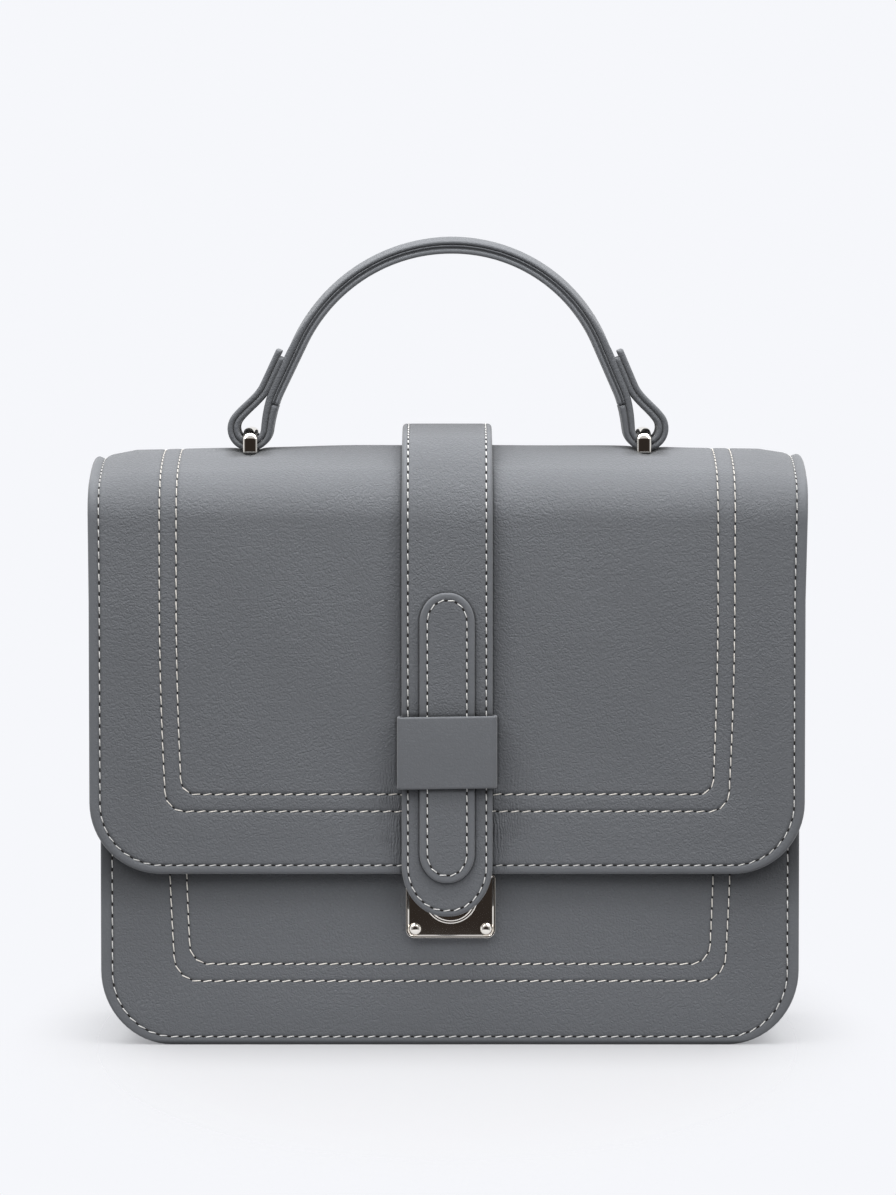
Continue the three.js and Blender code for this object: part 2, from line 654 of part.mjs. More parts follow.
const closure = new THREE.Group();
closure.add(piece("strap", strap(), leather()));
closure.add(piece("strap_tab", strapTab(), leather()));
closure.add(piece("keeper", keeper(), leather()));
closure.add(piece("lock_plate", lockPlate(), metal()));
for (const [name, side] of Object.entries(SIDES)) {
  const screw = piece(`lock_screw_${name}`, lockScrew(), metal(), screwX(side), LOCK_FRONT - GAP, SCREW_Z);
  closure.add(screw);
}
const studMiddle = (BOSS_FRONT + STRAP_FRONT_INNER) / 2;
closure.add(piece("clasp_stud", claspStud(), metal(), LOCK_X, studMiddle, STUD_CENTRE));

const handle = new THREE.Group();
handle.position.y = HANDLE_Y;
handle.add(piece("handle_top", handleTop(), leather()));
handle.add(piece("handle_lining", handleLining(), leather()));
for (const [name, side] of Object.entries(SIDES)) {
  handle.add(piece(`handle_wrap_${name}`, handleWrap(side), leather()));
  handle.add(piece(`handle_staple_${name}`, staple(), metal(), side * STAPLE_X));
}

const bag = new THREE.Group();
bag.position.y = BODY_SHIFT;
bag.add(body, closure, handle);

export default bag;
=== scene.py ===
import math

import bpy
import numpy as np
from bpy.props import FloatProperty, FloatVectorProperty, PointerProperty
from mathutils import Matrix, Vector


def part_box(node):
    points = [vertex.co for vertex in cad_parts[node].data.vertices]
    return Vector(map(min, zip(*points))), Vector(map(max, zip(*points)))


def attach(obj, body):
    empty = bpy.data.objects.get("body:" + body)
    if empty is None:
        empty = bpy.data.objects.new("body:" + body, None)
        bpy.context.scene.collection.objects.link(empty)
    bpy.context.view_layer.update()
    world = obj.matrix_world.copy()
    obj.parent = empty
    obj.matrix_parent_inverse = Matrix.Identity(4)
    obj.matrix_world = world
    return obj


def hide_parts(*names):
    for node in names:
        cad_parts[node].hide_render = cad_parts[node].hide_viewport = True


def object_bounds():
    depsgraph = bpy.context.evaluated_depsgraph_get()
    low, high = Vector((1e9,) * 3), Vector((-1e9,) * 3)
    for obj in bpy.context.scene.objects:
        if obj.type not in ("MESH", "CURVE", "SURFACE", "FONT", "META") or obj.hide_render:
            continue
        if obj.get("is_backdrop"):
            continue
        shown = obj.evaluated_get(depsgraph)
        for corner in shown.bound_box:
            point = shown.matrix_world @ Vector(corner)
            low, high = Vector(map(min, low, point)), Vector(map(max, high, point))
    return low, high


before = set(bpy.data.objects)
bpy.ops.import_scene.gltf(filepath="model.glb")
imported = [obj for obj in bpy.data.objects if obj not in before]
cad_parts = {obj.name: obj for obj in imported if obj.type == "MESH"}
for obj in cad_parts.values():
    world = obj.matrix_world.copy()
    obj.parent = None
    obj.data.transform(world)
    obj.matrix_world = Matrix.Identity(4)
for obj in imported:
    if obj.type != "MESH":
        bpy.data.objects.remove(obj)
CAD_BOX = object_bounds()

bl_info = {
    "name": "Leather satchel",
    "version": (1, 0, 0),
    "blender": (4, 5, 0),
    "location": "View3D > Sidebar > Satchel",
    "description": "Sews a structured leather satchel round its CAD frame",
    "category": "Add Mesh",
}

MM = 0.001
X, Y, Z = range(3)
SLOT_LEATHER, SLOT_LOCK, SLOT_HANDLE, SLOT_THREAD = "leather", "lock_metal", "handle_metal", "thread"


def node_box(name):
    """Lowest and highest corner of a CAD node, in millimetres."""
    return [np.array(corner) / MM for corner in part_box(name)]


def span(name, axis):
    """Middle and half width of a CAD node along an axis, in millimetres."""
    low, high = (corner[axis] for corner in node_box(name))
    return (low + high) / 2, (high - low) / 2


# Sizes and finishes that a maker would change


class SewingSettings(bpy.types.PropertyGroup):
    """How the seams are sewn."""

    pitch_share: FloatProperty(
        name="Stitch spacing", description="Spacing of all stitches against the pattern",
        default=1.0, min=0.5, max=2,
    )
    thickness: FloatProperty(
        name="Thread thickness", description="Thickness of the thread", default=0.00038, unit="LENGTH"
    )
    slant: FloatProperty(
        name="Slant", description="Turn of each stitch against its row",
        default=math.radians(11), subtype="ANGLE",
    )
    hem: FloatProperty(
        name="Hem", description="From an edge to its row of stitches", default=0.0034, unit="LENGTH"
    )
    strap_hem: FloatProperty(
        name="Strap hem", description="The same on the strap", default=0.0021, unit="LENGTH"
    )
    tab_hem: FloatProperty(
        name="Patch hem", description="The same on the strap's patch", default=0.0026, unit="LENGTH"
    )
    sink: FloatProperty(
        name="Pull", description="How deep the thread pulls the leather in", default=0.0003, unit="LENGTH"
    )
    thread: FloatVectorProperty(
        name="Thread", description="Colour of the thread", default=(0.8, 0.765, 0.71), subtype="COLOR"
    )
    hem_thread: FloatVectorProperty(
        name="Hem thread", description="Colour of the hems' thread",
        default=(0.67, 0.665, 0.65), subtype="COLOR",
    )


class LeatherSettings(bpy.types.PropertyGroup):
    """The hide's colour and surface."""

    colour: FloatVectorProperty(
        name="Colour", description="Dyed face of the hide", default=(0.125, 0.131, 0.1415), subtype="COLOR"
    )
    grain: FloatProperty(
        name="Grain", description="Width of one pebble of the grain", default=0.00105, unit="LENGTH"
    )
    grain_depth: FloatProperty(
        name="Grain depth", description="Height of the grain", default=0.00016, unit="LENGTH"
    )
    roughness: FloatProperty(
        name="Roughness", description="Satin of the finish", default=0.6, subtype="FACTOR", min=0, max=1
    )


class MetalSettings(bpy.types.PropertyGroup):
    """Plating of the lock and the handle's bridges."""

    colour: FloatVectorProperty(
        name="Plating", description="Colour of the plating", default=(0.93, 0.89, 0.83), subtype="COLOR"
    )
    roughness: FloatProperty(
        name="Polish", description="Roughness of the plating", default=0.04, subtype="FACTOR", min=0, max=1
    )


class ShapeSettings(bpy.types.PropertyGroup):
    """Roundings of the leather pieces."""

    flap_corner: FloatProperty(name="Flap corner", description="Radius", default=0.024, unit="LENGTH")
    body_corner: FloatProperty(name="Body corner", description="Radius across", default=0.024, unit="LENGTH")
    body_corner_rise: FloatProperty(
        name="Body corner rise", description="Radius upwards", default=0.0252, unit="LENGTH"
    )
    flap_crown: FloatProperty(
        name="Flap crown", description="Radius over the top", default=0.095, unit="LENGTH"
    )
    flap_fold: FloatProperty(
        name="Flap fold", description="Radius to the front", default=0.019, unit="LENGTH"
    )
    strap_crown: FloatProperty(
        name="Strap crown", description="Radius over the top", default=0.11, unit="LENGTH"
    )
    strap_fold: FloatProperty(
        name="Strap fold", description="Radius to the front", default=0.0302, unit="LENGTH"
    )
    strap_tip: FloatProperty(
        name="Strap tip", description="Length of the round tip", default=0.017, unit="LENGTH"
    )
    arch: FloatProperty(name="Handle arch", description="Radius of the arch", default=0.0562, unit="LENGTH")
    loop: FloatProperty(
        name="Handle loop", description="Radius of an end loop", default=0.0057, unit="LENGTH"
    )


class StageSettings(bpy.types.PropertyGroup):
    """Floor, light and camera."""

    paper: FloatVectorProperty(
        name="Paper", description="Colour behind the bag", default=(0.922, 0.931, 0.965), subtype="COLOR"
    )
    floor: FloatVectorProperty(
        name="Floor", description="Colour of the floor", default=(0.3, 0.3, 0.307), subtype="COLOR"
    )
    glow: FloatProperty(name="Floor glow", description="Light through the paper", default=0.2, min=0)
    top_light: FloatProperty(name="Top light", description="Watts", default=28, min=0)
    side_light: FloatProperty(name="Side light", description="Watts", default=9.2, min=0)
    room_low: FloatProperty(name="Room", description="Light from the room's sides", default=0.22, min=0)
    room_high: FloatProperty(name="Ceiling", description="Light from above", default=0.6, min=0)
    room_side: FloatProperty(name="Sides", description="Light from left and right", default=0.85, min=0)
    room_back: FloatProperty(name="Backdrop", description="Light from behind", default=0.85, min=0)
    distance: FloatProperty(name="Distance", description="Camera to flap", default=1.8, unit="LENGTH")
    height: FloatProperty(name="Height", description="Camera above the floor", default=0.255, unit="LENGTH")
    tilt: FloatProperty(name="Tilt", description="Camera down", default=math.radians(3.3), subtype="ANGLE")
    lens: FloatProperty(name="Lens", description="Focal length in mm", default=162.43)


class SatchelSettings(bpy.types.PropertyGroup):
    """All of the satchel's settings."""

    sewing: PointerProperty(type=SewingSettings)
    leather: PointerProperty(type=LeatherSettings)
    metal: PointerProperty(type=MetalSettings)
    shape: PointerProperty(type=ShapeSettings)
    stage: PointerProperty(type=StageSettings)


def settings():
    """The open scene's settings."""
    return bpy.context.scene.satchel


# Lines that the leather follows


LINE_STEP, ARC_STEP, SWEEP_POINTS = 0.4, 0.2, 60


def line(start, stop):
    """Points of a straight run."""
    steps = max(2, int(math.dist(start, stop) / LINE_STEP))
    return np.linspace(start, stop, steps + 1)


def arc(centre, radius, first, last):
    """Points of a round run between two angles in radians."""
    steps = max(8, int(abs(last - first) * radius / ARC_STEP))
    turn = np.linspace(first, last, steps + 1)
    return np.column_stack([centre[0] + radius * np.cos(turn), centre[1] + radius * np.sin(turn)])


def sweep(start, start_pull, stop_pull, stop):
    """Points of a soft bend between two pulls."""
    t = np.linspace(0, 1, SWEEP_POINTS)[:, None]
    ends = (1 - t) ** 3 * np.array(start) + t**3 * np.array(stop)
    return ends + 3 * t * (1 - t) ** 2 * np.array(start_pull) + 3 * t**2 * (1 - t) * np.array(stop_pull)


def rounded(corners, radius):
    """Straight runs through square corners, with round bends between them."""
    corners = np.array(corners, float)
    runs, start = [], corners[0]
    for before, corner, after in zip(corners, corners[1:], corners[2:]):
        into = (corner - before) / np.linalg.norm(corner - before)
        out = (after - corner) / np.linalg.norm(after - corner)
        first = math.atan2(-out[1], -out[0])
        turn = math.copysign(math.pi / 2, into[0] * out[1] - into[1] * out[0])
        runs.append(line(start, corner - into * radius))
        runs.append(arc(corner + (out - into) * radius, radius, first, first + turn))
        start = corner + out * radius
    return runs + [line(start, corners[-1])]


class Track:
    """A line in a plane, measured by its length; its face looks to the given side."""

    def __init__(self, runs, side):
        points = np.concatenate(runs)
        keep = np.concatenate([[True], np.linalg.norm(np.diff(points, axis=0), axis=1) > 1e-6])
        self.points = points[keep]
        steps = np.linalg.norm(np.diff(self.points, axis=0), axis=1)
        self.lengths = np.concatenate([[0], np.cumsum(steps)])
        self.total = self.lengths[-1]
        tangent = np.gradient(self.points, self.lengths, axis=0)
        self.tangent = tangent / np.linalg.norm(tangent, axis=1)[:, None]
        self.side = side

    def at(self, s):
        """Points and outward normals at lengths along the line."""
        place = np.column_stack([np.interp(s, self.lengths, self.points[:, k]) for k in (0, 1)])
        along = np.column_stack([np.interp(s, self.lengths, self.tangent[:, k]) for k in (0, 1)])
        along /= np.linalg.norm(along, axis=1)[:, None]
        normal = np.column_stack([along[:, 1], -along[:, 0]]) * self.side
        return place, normal


def over_the_top(front, back, top, crown, fold, back_end, front_end):
    """Up the back, over a crowned top and down the front, in (y, z)."""
    middle, half = (front + back) / 2, (back - front) / 2
    turn = math.asin((half - fold) / (crown - fold))
    reach = half - fold
    fold_z = top - crown + (crown - fold) * math.cos(turn)
    quarter = math.pi / 2
    return Track(
        [
            line((back, back_end), (back, fold_z)),
            arc((middle + reach, fold_z), fold, 0, quarter - turn),
            arc((middle, top - crown), crown, quarter - turn, quarter + turn),
            arc((middle - reach, fold_z), fold, quarter + turn, 2 * quarter),
            line((front, fold_z), (front, front_end)),
        ],
        1,
    )


# Flat cuts, and solids made from rings round them


class Cut:
    """A piece's flat outline: x across, s along, with a round corner (across, along) at either end."""

    LEAN_FROM, LEAN_LENGTH = 92, 64

    def __init__(
        self, half, length, start, stop, long_steps, end_steps, corner_steps=8, shares=(1.0, 1.0, 1.0)
    ):
        self.half, self.length, self.start, self.stop = half, length, start, stop
        self.long_steps, self.end_steps, self.corner_steps = long_steps, end_steps, corner_steps
        self.shares = shares

    def inset(self, away):
        """A ring at one distance from the edge, in its shares at the sides, the start and the stop."""
        corners = [[max(radius - away, 0.12) for radius in corner] for corner in (self.start, self.stop)]
        return self.ring(*(away * share for share in self.shares), *corners)

    def ring(self, side, start, stop, start_corner, stop_corner, lean=0.0):
        """Four sides of a ring: left, stop end, right, start end; lean draws the stop's corners in."""
        half, low, high = self.half - side, start, self.length - stop
        (a0, l0), (a1, l1) = start_corner, stop_corner
        eighth = math.pi / 4
        early, late, turn = (
            np.linspace(first, last, self.corner_steps + 1)
            for first, last in ((eighth, 0), (0, eighth), (eighth, 2 * eighth))
        )
        long_run = np.linspace(low + l0, high - l1, self.long_steps + 1)[1:-1]
        left = np.concatenate(
            [
                np.column_stack([-(half - a0) - a0 * np.cos(early), low + l0 - l0 * np.sin(early)]),
                np.column_stack([np.full(len(long_run), -half), long_run]),
                np.column_stack([-(half - a1) - a1 * np.cos(late), high - l1 + l1 * np.sin(late)]),
            ]
        )

        def end(across, along, level, sign):
            inner = half - across
            corner = np.column_stack([-inner - across * np.cos(turn), level + sign * along * np.sin(turn)])
            run = np.linspace(-inner, inner, self.end_steps + 1)[1:-1]
            middle = np.column_stack([run, np.full(len(run), level + sign * along)])
            return np.concatenate([corner, middle, corner[::-1] * (-1, 1)])

        sides = [left, end(a1, l1, high - l1, 1), left[::-1] * (-1, 1), end(a0, l0, low + l0, -1)[::-1]]
        if lean:
            for points in sides:
                share = np.clip((points[:, 1] - self.length + self.LEAN_FROM) / self.LEAN_LENGTH, 0, 1.3)
                points[:, 0] *= 1 - lean * share**2 / self.half
        return sides


def closed(sides):
    """One loop of points from a ring's four sides."""
    return np.concatenate([points[:-1] for points in sides])


def patch_points(sides):
    """Grid of points inside a ring, blended from its four sides."""
    left, stop, right, start = sides[0], sides[1], sides[2][::-1], sides[3][::-1]
    u = np.linspace(0, 1, len(stop))[None, :, None]
    v = np.linspace(0, 1, len(left))[:, None, None]
    across = (1 - u) * left[:, None] + u * right[:, None]
    along = (1 - v) * start[None] + v * stop[None]
    corners = (1 - v) * ((1 - u) * left[0] + u * right[0]) + v * ((1 - u) * left[-1] + u * right[-1])
    return across + along - corners


def ring_solid(name, form, stack, material):
    """A closed piece from rings (sides, height, marks): inner face, round the edge, outer face."""
    points, marks, quads = [], [], []
    total = 0

    def add(flat, height, mark):
        nonlocal total
        points.append(form(flat[:, 0], flat[:, 1], np.full(len(flat), height)))
        marks.append(np.tile(mark, (len(flat), 1)))
        first = total
        total += len(flat)
        return first

    loops = [closed(sides) for sides, height, mark in stack]
    count = len(loops[0])
    firsts = [add(loop, ring[1], ring[2]) for loop, ring in zip(loops, stack)]
    step = np.arange(count)
    ahead = (step + 1) % count
    for a, b in zip(firsts, firsts[1:]):
        quads.append(np.column_stack([a + step, a + ahead, b + ahead, b + step]))
    for which, turned in ((0, False), (-1, True)):
        sides, height, mark = stack[which]
        grid = patch_points(sides)
        rows, columns = grid.shape[:2]
        inside = add(grid[1:-1, 1:-1].reshape(-1, 2), height, mark * 0)
        index = np.zeros((rows, columns), int)
        index[1:-1, 1:-1] = inside + np.arange((rows - 2) * (columns - 2)).reshape(rows - 2, columns - 2)
        loop = firsts[which] + step
        index[:, 0] = loop[:rows]
        index[-1, :] = loop[rows - 1 : rows + columns - 1]
        index[::-1, -1] = loop[rows + columns - 2 : 2 * rows + columns - 2]
        index[0, ::-1] = np.append(loop[2 * rows + columns - 3 :], loop[0])
        face = np.column_stack(
            [index[:-1, :-1].ravel(), index[:-1, 1:].ravel(), index[1:, 1:].ravel(), index[1:, :-1].ravel()]
        )
        quads.append(face[:, ::-1] if turned else face)
    return mesh_object(name, np.concatenate(points), np.concatenate(quads), material, np.concatenate(marks))


def mesh_object(name, points, faces, material, marks=None):
    """A smooth mesh object in metres, its faces turned outwards, with its rim and seam marks."""
    points = np.asarray(points, float) * MM
    faces = np.asarray(faces)
    a, b, c = (points[faces[:, k]] for k in (0, 1, 2))
    volume = np.einsum("ij,ij->i", a, np.cross(b, c)).sum()
    if faces.shape[1] == 4:
        d = points[faces[:, 3]]
        volume += np.einsum("ij,ij->i", a, np.cross(c, d)).sum()
    if volume < 0:
        faces = faces[:, ::-1]
    mesh = bpy.data.meshes.new(name)
    mesh.from_pydata(points.tolist(), [], faces.tolist())
    if marks is not None:
        for column, label in enumerate(("rim", "seam")):
            layer = mesh.attributes.new(label, "FLOAT", "POINT")
            layer.data.foreach_set("value", marks[:, column].astype(np.float32))
    mesh.polygons.foreach_set("use_smooth", [True] * len(mesh.polygons))
    mesh.materials.append(material)
    mesh.update()
    piece = bpy.data.objects.new(name, mesh)
    bpy.context.scene.collection.objects.link(piece)
    return piece


PLAIN, RIM = np.array([0.0, 0.0]), np.array([1.0, 0.0])
EDGE_TURNS = np.linspace(-math.pi / 2, math.pi / 2, 11)
HEM_RINGS = (-1.2, -0.8, -0.5, -0.25, 0, 0.25, 0.5, 0.8, 1.2, 2.2)
ROW_RINGS = (-1.4, -0.8, -0.45, -0.2, 0, 0.2, 0.45, 0.8, 1.4)
ROW_START = 8.0
THREAD_LIFT = 0.05


def groove(away, depth):
    """How far a row of stitches pulls the face in at a distance from it."""
    return depth * math.exp(-((away / 0.55) ** 2))


def seam_mark(away):
    """How dark the leather is at a distance from a row of stitches."""
    return math.exp(-((away / 0.6) ** 2))


def leather_stack(cut, low, high, hem=0.0, sink=0.0, rows=()):
    """Rings of a turned-edge piece between two heights, with a sewn hem; the first further row is plain."""
    middle, half = (low + high) / 2, (high - low) / 2
    stack = [
        (cut.inset(half * (1 - math.cos(turn))), middle + half * math.sin(turn), RIM) for turn in EDGE_TURNS
    ]
    for away in HEM_RINGS if hem else ():
        if hem + away > half + 0.05:
            mark = np.array([max(0.0, 1 - (hem + away) / (2 * hem)), seam_mark(away)])
            stack.append((cut.inset(hem + away), high - groove(away, sink), mark))
    for count, row in enumerate(rows):
        for away in ROW_RINGS if count else (0,):
            mark = np.array([0.0, seam_mark(away)]) if count else PLAIN
            ring = cut.ring(*row_ring(row, away, ROW_START + 0.3 * count + 0.02 * (away + 1.4)))
            stack.append((ring, high - groove(away, sink) * (count > 0), mark))
    return stack


def row_ring(row, away, reach):
    """Ring sizes for a sewn row: side and stop insets, corner radius and lean, a little to one side of it."""
    side, stop, corner, lean = row
    radius = max(corner - away, 0.5)
    return side + away, reach, stop + away, (0.4, 0.4), (radius, radius), lean


# Finishes, with their lengths in metres


class Value:
    """A node's value; sums and products with it add Math nodes."""

    def __init__(self, recipe, socket):
        self.recipe, self.socket = recipe, socket

    def _math(self, operation, first, second):
        return self.recipe.node("ShaderNodeMath", {"operation": operation}, {0: first, 1: second})

    def __add__(self, other):
        return self._math("ADD", self, other)

    def __radd__(self, other):
        return self._math("ADD", other, self)

    def __sub__(self, other):
        return self._math("SUBTRACT", self, other)

    def __rsub__(self, other):
        return self._math("SUBTRACT", other, self)

    def __mul__(self, other):
        return self._math("MULTIPLY", self, other)

    def __rmul__(self, other):
        return self._math("MULTIPLY", other, self)

    def __pow__(self, other):
        return self._math("POWER", self, other)

    def __abs__(self):
        return self.recipe.node("ShaderNodeMath", {"operation": "ABSOLUTE"}, {0: self})


class Recipe:
    """Nodes of one tree."""

    def __init__(self, tree):
        self.tree = tree

    def node(self, kind, choices=None, inputs=None, output=0):
        """Adds a node: its type, its settings, then the values or links of its sockets."""
        made = self.tree.nodes.new(kind)
        for label, choice in (choices or {}).items():
            setattr(made, label, choice)
        for label, given in (inputs or {}).items():
            self.give(made.inputs[label], given)
        return Value(self, made.outputs[output])

    def give(self, socket, given):
        if isinstance(given, Value):
            self.tree.links.new(given.socket, socket)
        else:
            socket.default_value = given

    def place(self):
        return self.node("ShaderNodeTexCoord", output="Object")

    def axes(self, place, letters):
        """Parts of a place along the named axes."""
        return [self.node("ShaderNodeSeparateXYZ", {}, {0: place}, letter) for letter in letters]

    def mark(self, label):
        return self.node("ShaderNodeAttribute", {"attribute_name": label}, output="Fac")

    def noise(self, place, scale, detail=2.0, output=0):
        inputs = {"Vector": place, "Scale": scale, "Detail": detail}
        return self.node("ShaderNodeTexNoise", {}, inputs, output)

    def vector(self, operation, *given, output="Vector"):
        return self.node("ShaderNodeVectorMath", {"operation": operation}, dict(enumerate(given)), output)

    def larger(self, first, second):
        return self.node("ShaderNodeMath", {"operation": "MAXIMUM"}, {0: first, 1: second})

    def step(self, value, first, last, low=0.0, high=1.0):
        """A soft step from one level to another."""
        inputs = {0: value, 1: first, 2: last, 3: low, 4: high}
        return self.node("ShaderNodeMapRange", {"interpolation_type": "SMOOTHSTEP"}, inputs)

    def fade(self, value, first, last, level=1.0):
        """A soft step from a level down to nothing."""
        return self.step(value, first, last, level, 0.0)

    def blend(self, share, first, second):
        """Mix of two colours."""
        inputs = {"Factor": share, 6: first, 7: second}
        return self.node("ShaderNodeMix", {"data_type": "RGBA"}, inputs, 2)

    def bump(self, height, distance, strength=1.0):
        inputs = {"Strength": strength, "Distance": distance, "Height": height}
        return self.node("ShaderNodeBump", {}, inputs, "Normal")


class Finish(Recipe):
    """One finish: its nodes, ending in a principled shader."""

    def __init__(self, name):
        self.material = bpy.data.materials.new(name)
        self.material.use_nodes = True
        super().__init__(self.material.node_tree)
        self.shader = self.tree.nodes["Principled BSDF"]

    def finish(self, **sockets):
        """Sets the shader's sockets, underscores for spaces."""
        for label, given in sockets.items():
            self.give(self.shader.inputs[label.replace("_", " ")], given)
        return self.material


FINISHES = {}


def finishes():
    """The finishes by name, made once."""
    if not FINISHES:
        sewing = settings().sewing
        FINISHES.update(
            # The panel, flap, strap and patch finishes carry painted shade from the functions given to them.
            leather=grey_leather("grey_leather"),
            panel=grey_leather("panel_leather", under_flap),
            flap=grey_leather("flap_leather", beside_strap),
            strap=grey_leather("strap_leather", round_patch),
            patch=grey_leather("patch_leather", by_keeper),
            smooth=grey_leather("smooth_leather", grain=0.3),
            thread=sewing_thread("cream_thread", sewing.thread, 0.66),
            hem_thread=sewing_thread("pale_thread", sewing.hem_thread),
            flap_hem_thread=sewing_thread("flap_hem_thread", sewing.hem_thread, 0.62),
            hole=needle_hole(),
            plating=polished_plating(settings().metal),
        )
    return FINISHES


def shade(colour, share):
    """A paler or deeper shade of a colour, for a socket."""
    return (*np.minimum(np.array(colour) * share, 1), 1)


def past_keeper(rise):
    """How far a height is above or below the keeper, in metres."""
    middle, half = span("keeper", Z)
    return abs(rise - middle * MM) - half * MM


def beside_strap(recipe, place):
    """Painted shade on the flap: shadows beside the strap and keeper and under the handle's loops, and shade
    at its top corners.
    """
    across, depth, rise = recipe.axes(place, "XYZ")
    out = abs(across)
    # Painted shade at the flap's top corners.
    corner_shade = recipe.step(out, 0.08, 0.116, 0.0, 0.22) * recipe.step(rise, 0.176, 0.188)
    # Painted shadow under the handle's loops.
    from_loop = abs(abs(across - HANDLE_ASIDE * MM) - LOOP_X * MM)
    along_loop = abs(depth - HANDLE_Y * MM)
    loop_shadow = recipe.fade(from_loop, 0.0042, 0.0095, 0.95) * recipe.fade(along_loop, 0.0155, 0.0225)
    # Painted shadows beside the strap and beside the keeper.
    end = STRAP_BACK_END * MM
    past_end = recipe.step(depth, 0.02, 0.03) * recipe.fade(rise, end - 0.0012, end)
    by_strap = recipe.fade(out - STRAP_HIGH[X] * MM, 0.0, 0.0011) * (1 - past_end)
    level_with_keeper = recipe.fade(past_keeper(rise), -0.0012, 0.0)
    by_band = recipe.fade(out - node_box("keeper")[1][X] * MM, 0.0, 0.0014) * level_with_keeper
    return by_strap + by_band * (1 - by_strap) + loop_shadow + corner_shade


def under_flap(recipe, place):
    """Painted shade on the front panel: the flap's shadow below its edge, and shade along and up from the
    bottom edge that it stands on.
    """
    (rise,) = recipe.axes(place, "Z")
    edge = FLAP_LOW[Z] * MM
    # Painted shade: a dark line at the bottom edge and a gentle darkening up from it.
    floor_shade = recipe.fade(rise, 0.0006, 0.0018) + recipe.fade(rise, 0.0, 0.016, 0.2)
    return recipe.step(rise, edge - 0.016, edge + 0.004) * 0.8 + floor_shade


def by_keeper(recipe, place):
    """Painted shade on the strap's patch: a dark line and a broader shadow on either side of the keeper."""
    (rise,) = recipe.axes(place, "Z")
    past = past_keeper(rise)
    # Painted shadow beside the keeper.
    return recipe.fade(past, 0.0, 0.0016, 0.8) + recipe.fade(past, 0.0, 0.008, 0.3)


def round_patch(recipe, place):
    """Painted shade on the strap: a shadow round the edge of its patch, and the keeper's shadow."""
    across, rise = recipe.axes(place, "XZ")
    (middle, half), radius = span("strap_tab", Z), node_box("strap_tab")[1][X]
    over = recipe.larger(abs(rise - middle * MM) - (half - radius) * MM, 0.0)
    away = (across * across + over * over) ** 0.5 - radius * MM
    # Painted shadow round the patch.
    return recipe.fade(away, 0.0, 0.0009) + by_keeper(recipe, place)


def grey_leather(name, painted_shade=None, grain=1.0):
    """Dyed hide with a pebbled, creased grain, softly mottled, paler along its turned edges, with painted
    shade in its creases and wherever a given function puts it.
    """
    look = settings().leather
    base, size = look.colour, 1 / look.grain
    recipe = Finish(name)
    place = recipe.place()
    drift = recipe.noise(place, size * 0.4, output="Color")
    shifted = recipe.vector("MULTIPLY_ADD", drift, (look.grain * 1.8,) * 3, place)
    cells = {"Vector": shifted, "Scale": size}
    pebble = recipe.node("ShaderNodeTexVoronoi", {"feature": "DISTANCE_TO_EDGE"}, cells, "Distance")
    dome = recipe.step(pebble, 0.0, 0.35)
    ridge = recipe.step(abs(recipe.noise(place, size * 0.62, 1.5) - 0.5), 0.0, 0.11)
    fine = recipe.noise(place, size * 2.4, 3.0)
    broad = recipe.noise(place, 38.0, 3.0)
    worn = recipe.noise(place, 130.0)
    rim, seam = recipe.mark("rim"), recipe.mark("seam")
    strength = (0.35 + 1.3 * broad) * (1 - 0.88 * rim) * grain
    drawn_out = recipe.vector("MULTIPLY", shifted, (1, 1, 0.42))
    waves = recipe.node(
        "ShaderNodeTexWave", {"wave_type": "BANDS", "bands_direction": "X"},
        {"Vector": drawn_out, "Scale": 330.0, "Distortion": 15.0, "Detail": 2.0, "Detail Scale": 0.3}, "Fac",
    )
    pulls = waves * recipe.step(worn, 0.3, 0.65) * recipe.mark("crease")
    height = (dome * 0.45 + ridge * 0.5 + fine * 0.45) * strength + pulls * 1.6
    tint = recipe.blend(broad, shade(base, 0.93), shade(base, 1.07))
    # The crease pulls also darken the colour: painted shade in the creases.
    tint = recipe.blend((1 - dome * ridge) * 0.22 + pulls * 0.35, tint, shade(base, 0.7))
    tint = recipe.blend(rim * worn * 0.35, tint, shade(base, 1.35))
    tint = recipe.blend(seam * 0.45, tint, shade(base, 0.4))
    # Painted shade: darkens the colour where the given function puts shadow.
    if painted_shade:
        tint = recipe.blend(painted_shade(recipe, place) * 0.7, tint, shade(base, 0.2))
    return recipe.finish(
        Base_Color=tint, Roughness=look.roughness + 0.1 * fine - 0.08 * rim + 0.05 * (1 - dome),
        Normal=recipe.bump(height, look.grain_depth), Specular_IOR_Level=0.16, Sheen_Weight=0.2,
    )


def sewing_thread(name, colour, folded=1.0):
    """Twisted thread, duller by the given share over the flap's fold."""
    recipe = Finish(name)
    place = recipe.place()
    fibre, shift = recipe.noise(place, 2600.0), recipe.noise(place, 180.0, 1.0)
    tint = recipe.blend(shift, shade(colour, 0.8), shade(colour, 1.15))
    (rise,) = recipe.axes(place, "Z")
    tint = recipe.blend(recipe.step(rise, 0.176, 0.186), tint, shade(colour, folded))
    bump = recipe.bump(fibre, 0.0001, 0.6)
    return recipe.finish(Base_Color=tint, Roughness=0.62 + 0.2 * fibre, Normal=bump)


def needle_hole():
    """Painted shade of a needle hole: a near-black mark standing in for the shadow in the pit where the
    thread goes in.
    """
    recipe = Finish("needle_hole")
    grit = recipe.noise(recipe.place(), 900.0)
    tint = recipe.blend(grit, (0.012, 0.011, 0.011, 1), (0.03, 0.028, 0.027, 1))
    return recipe.finish(Base_Color=tint, Roughness=0.9, Specular_IOR_Level=0.1)


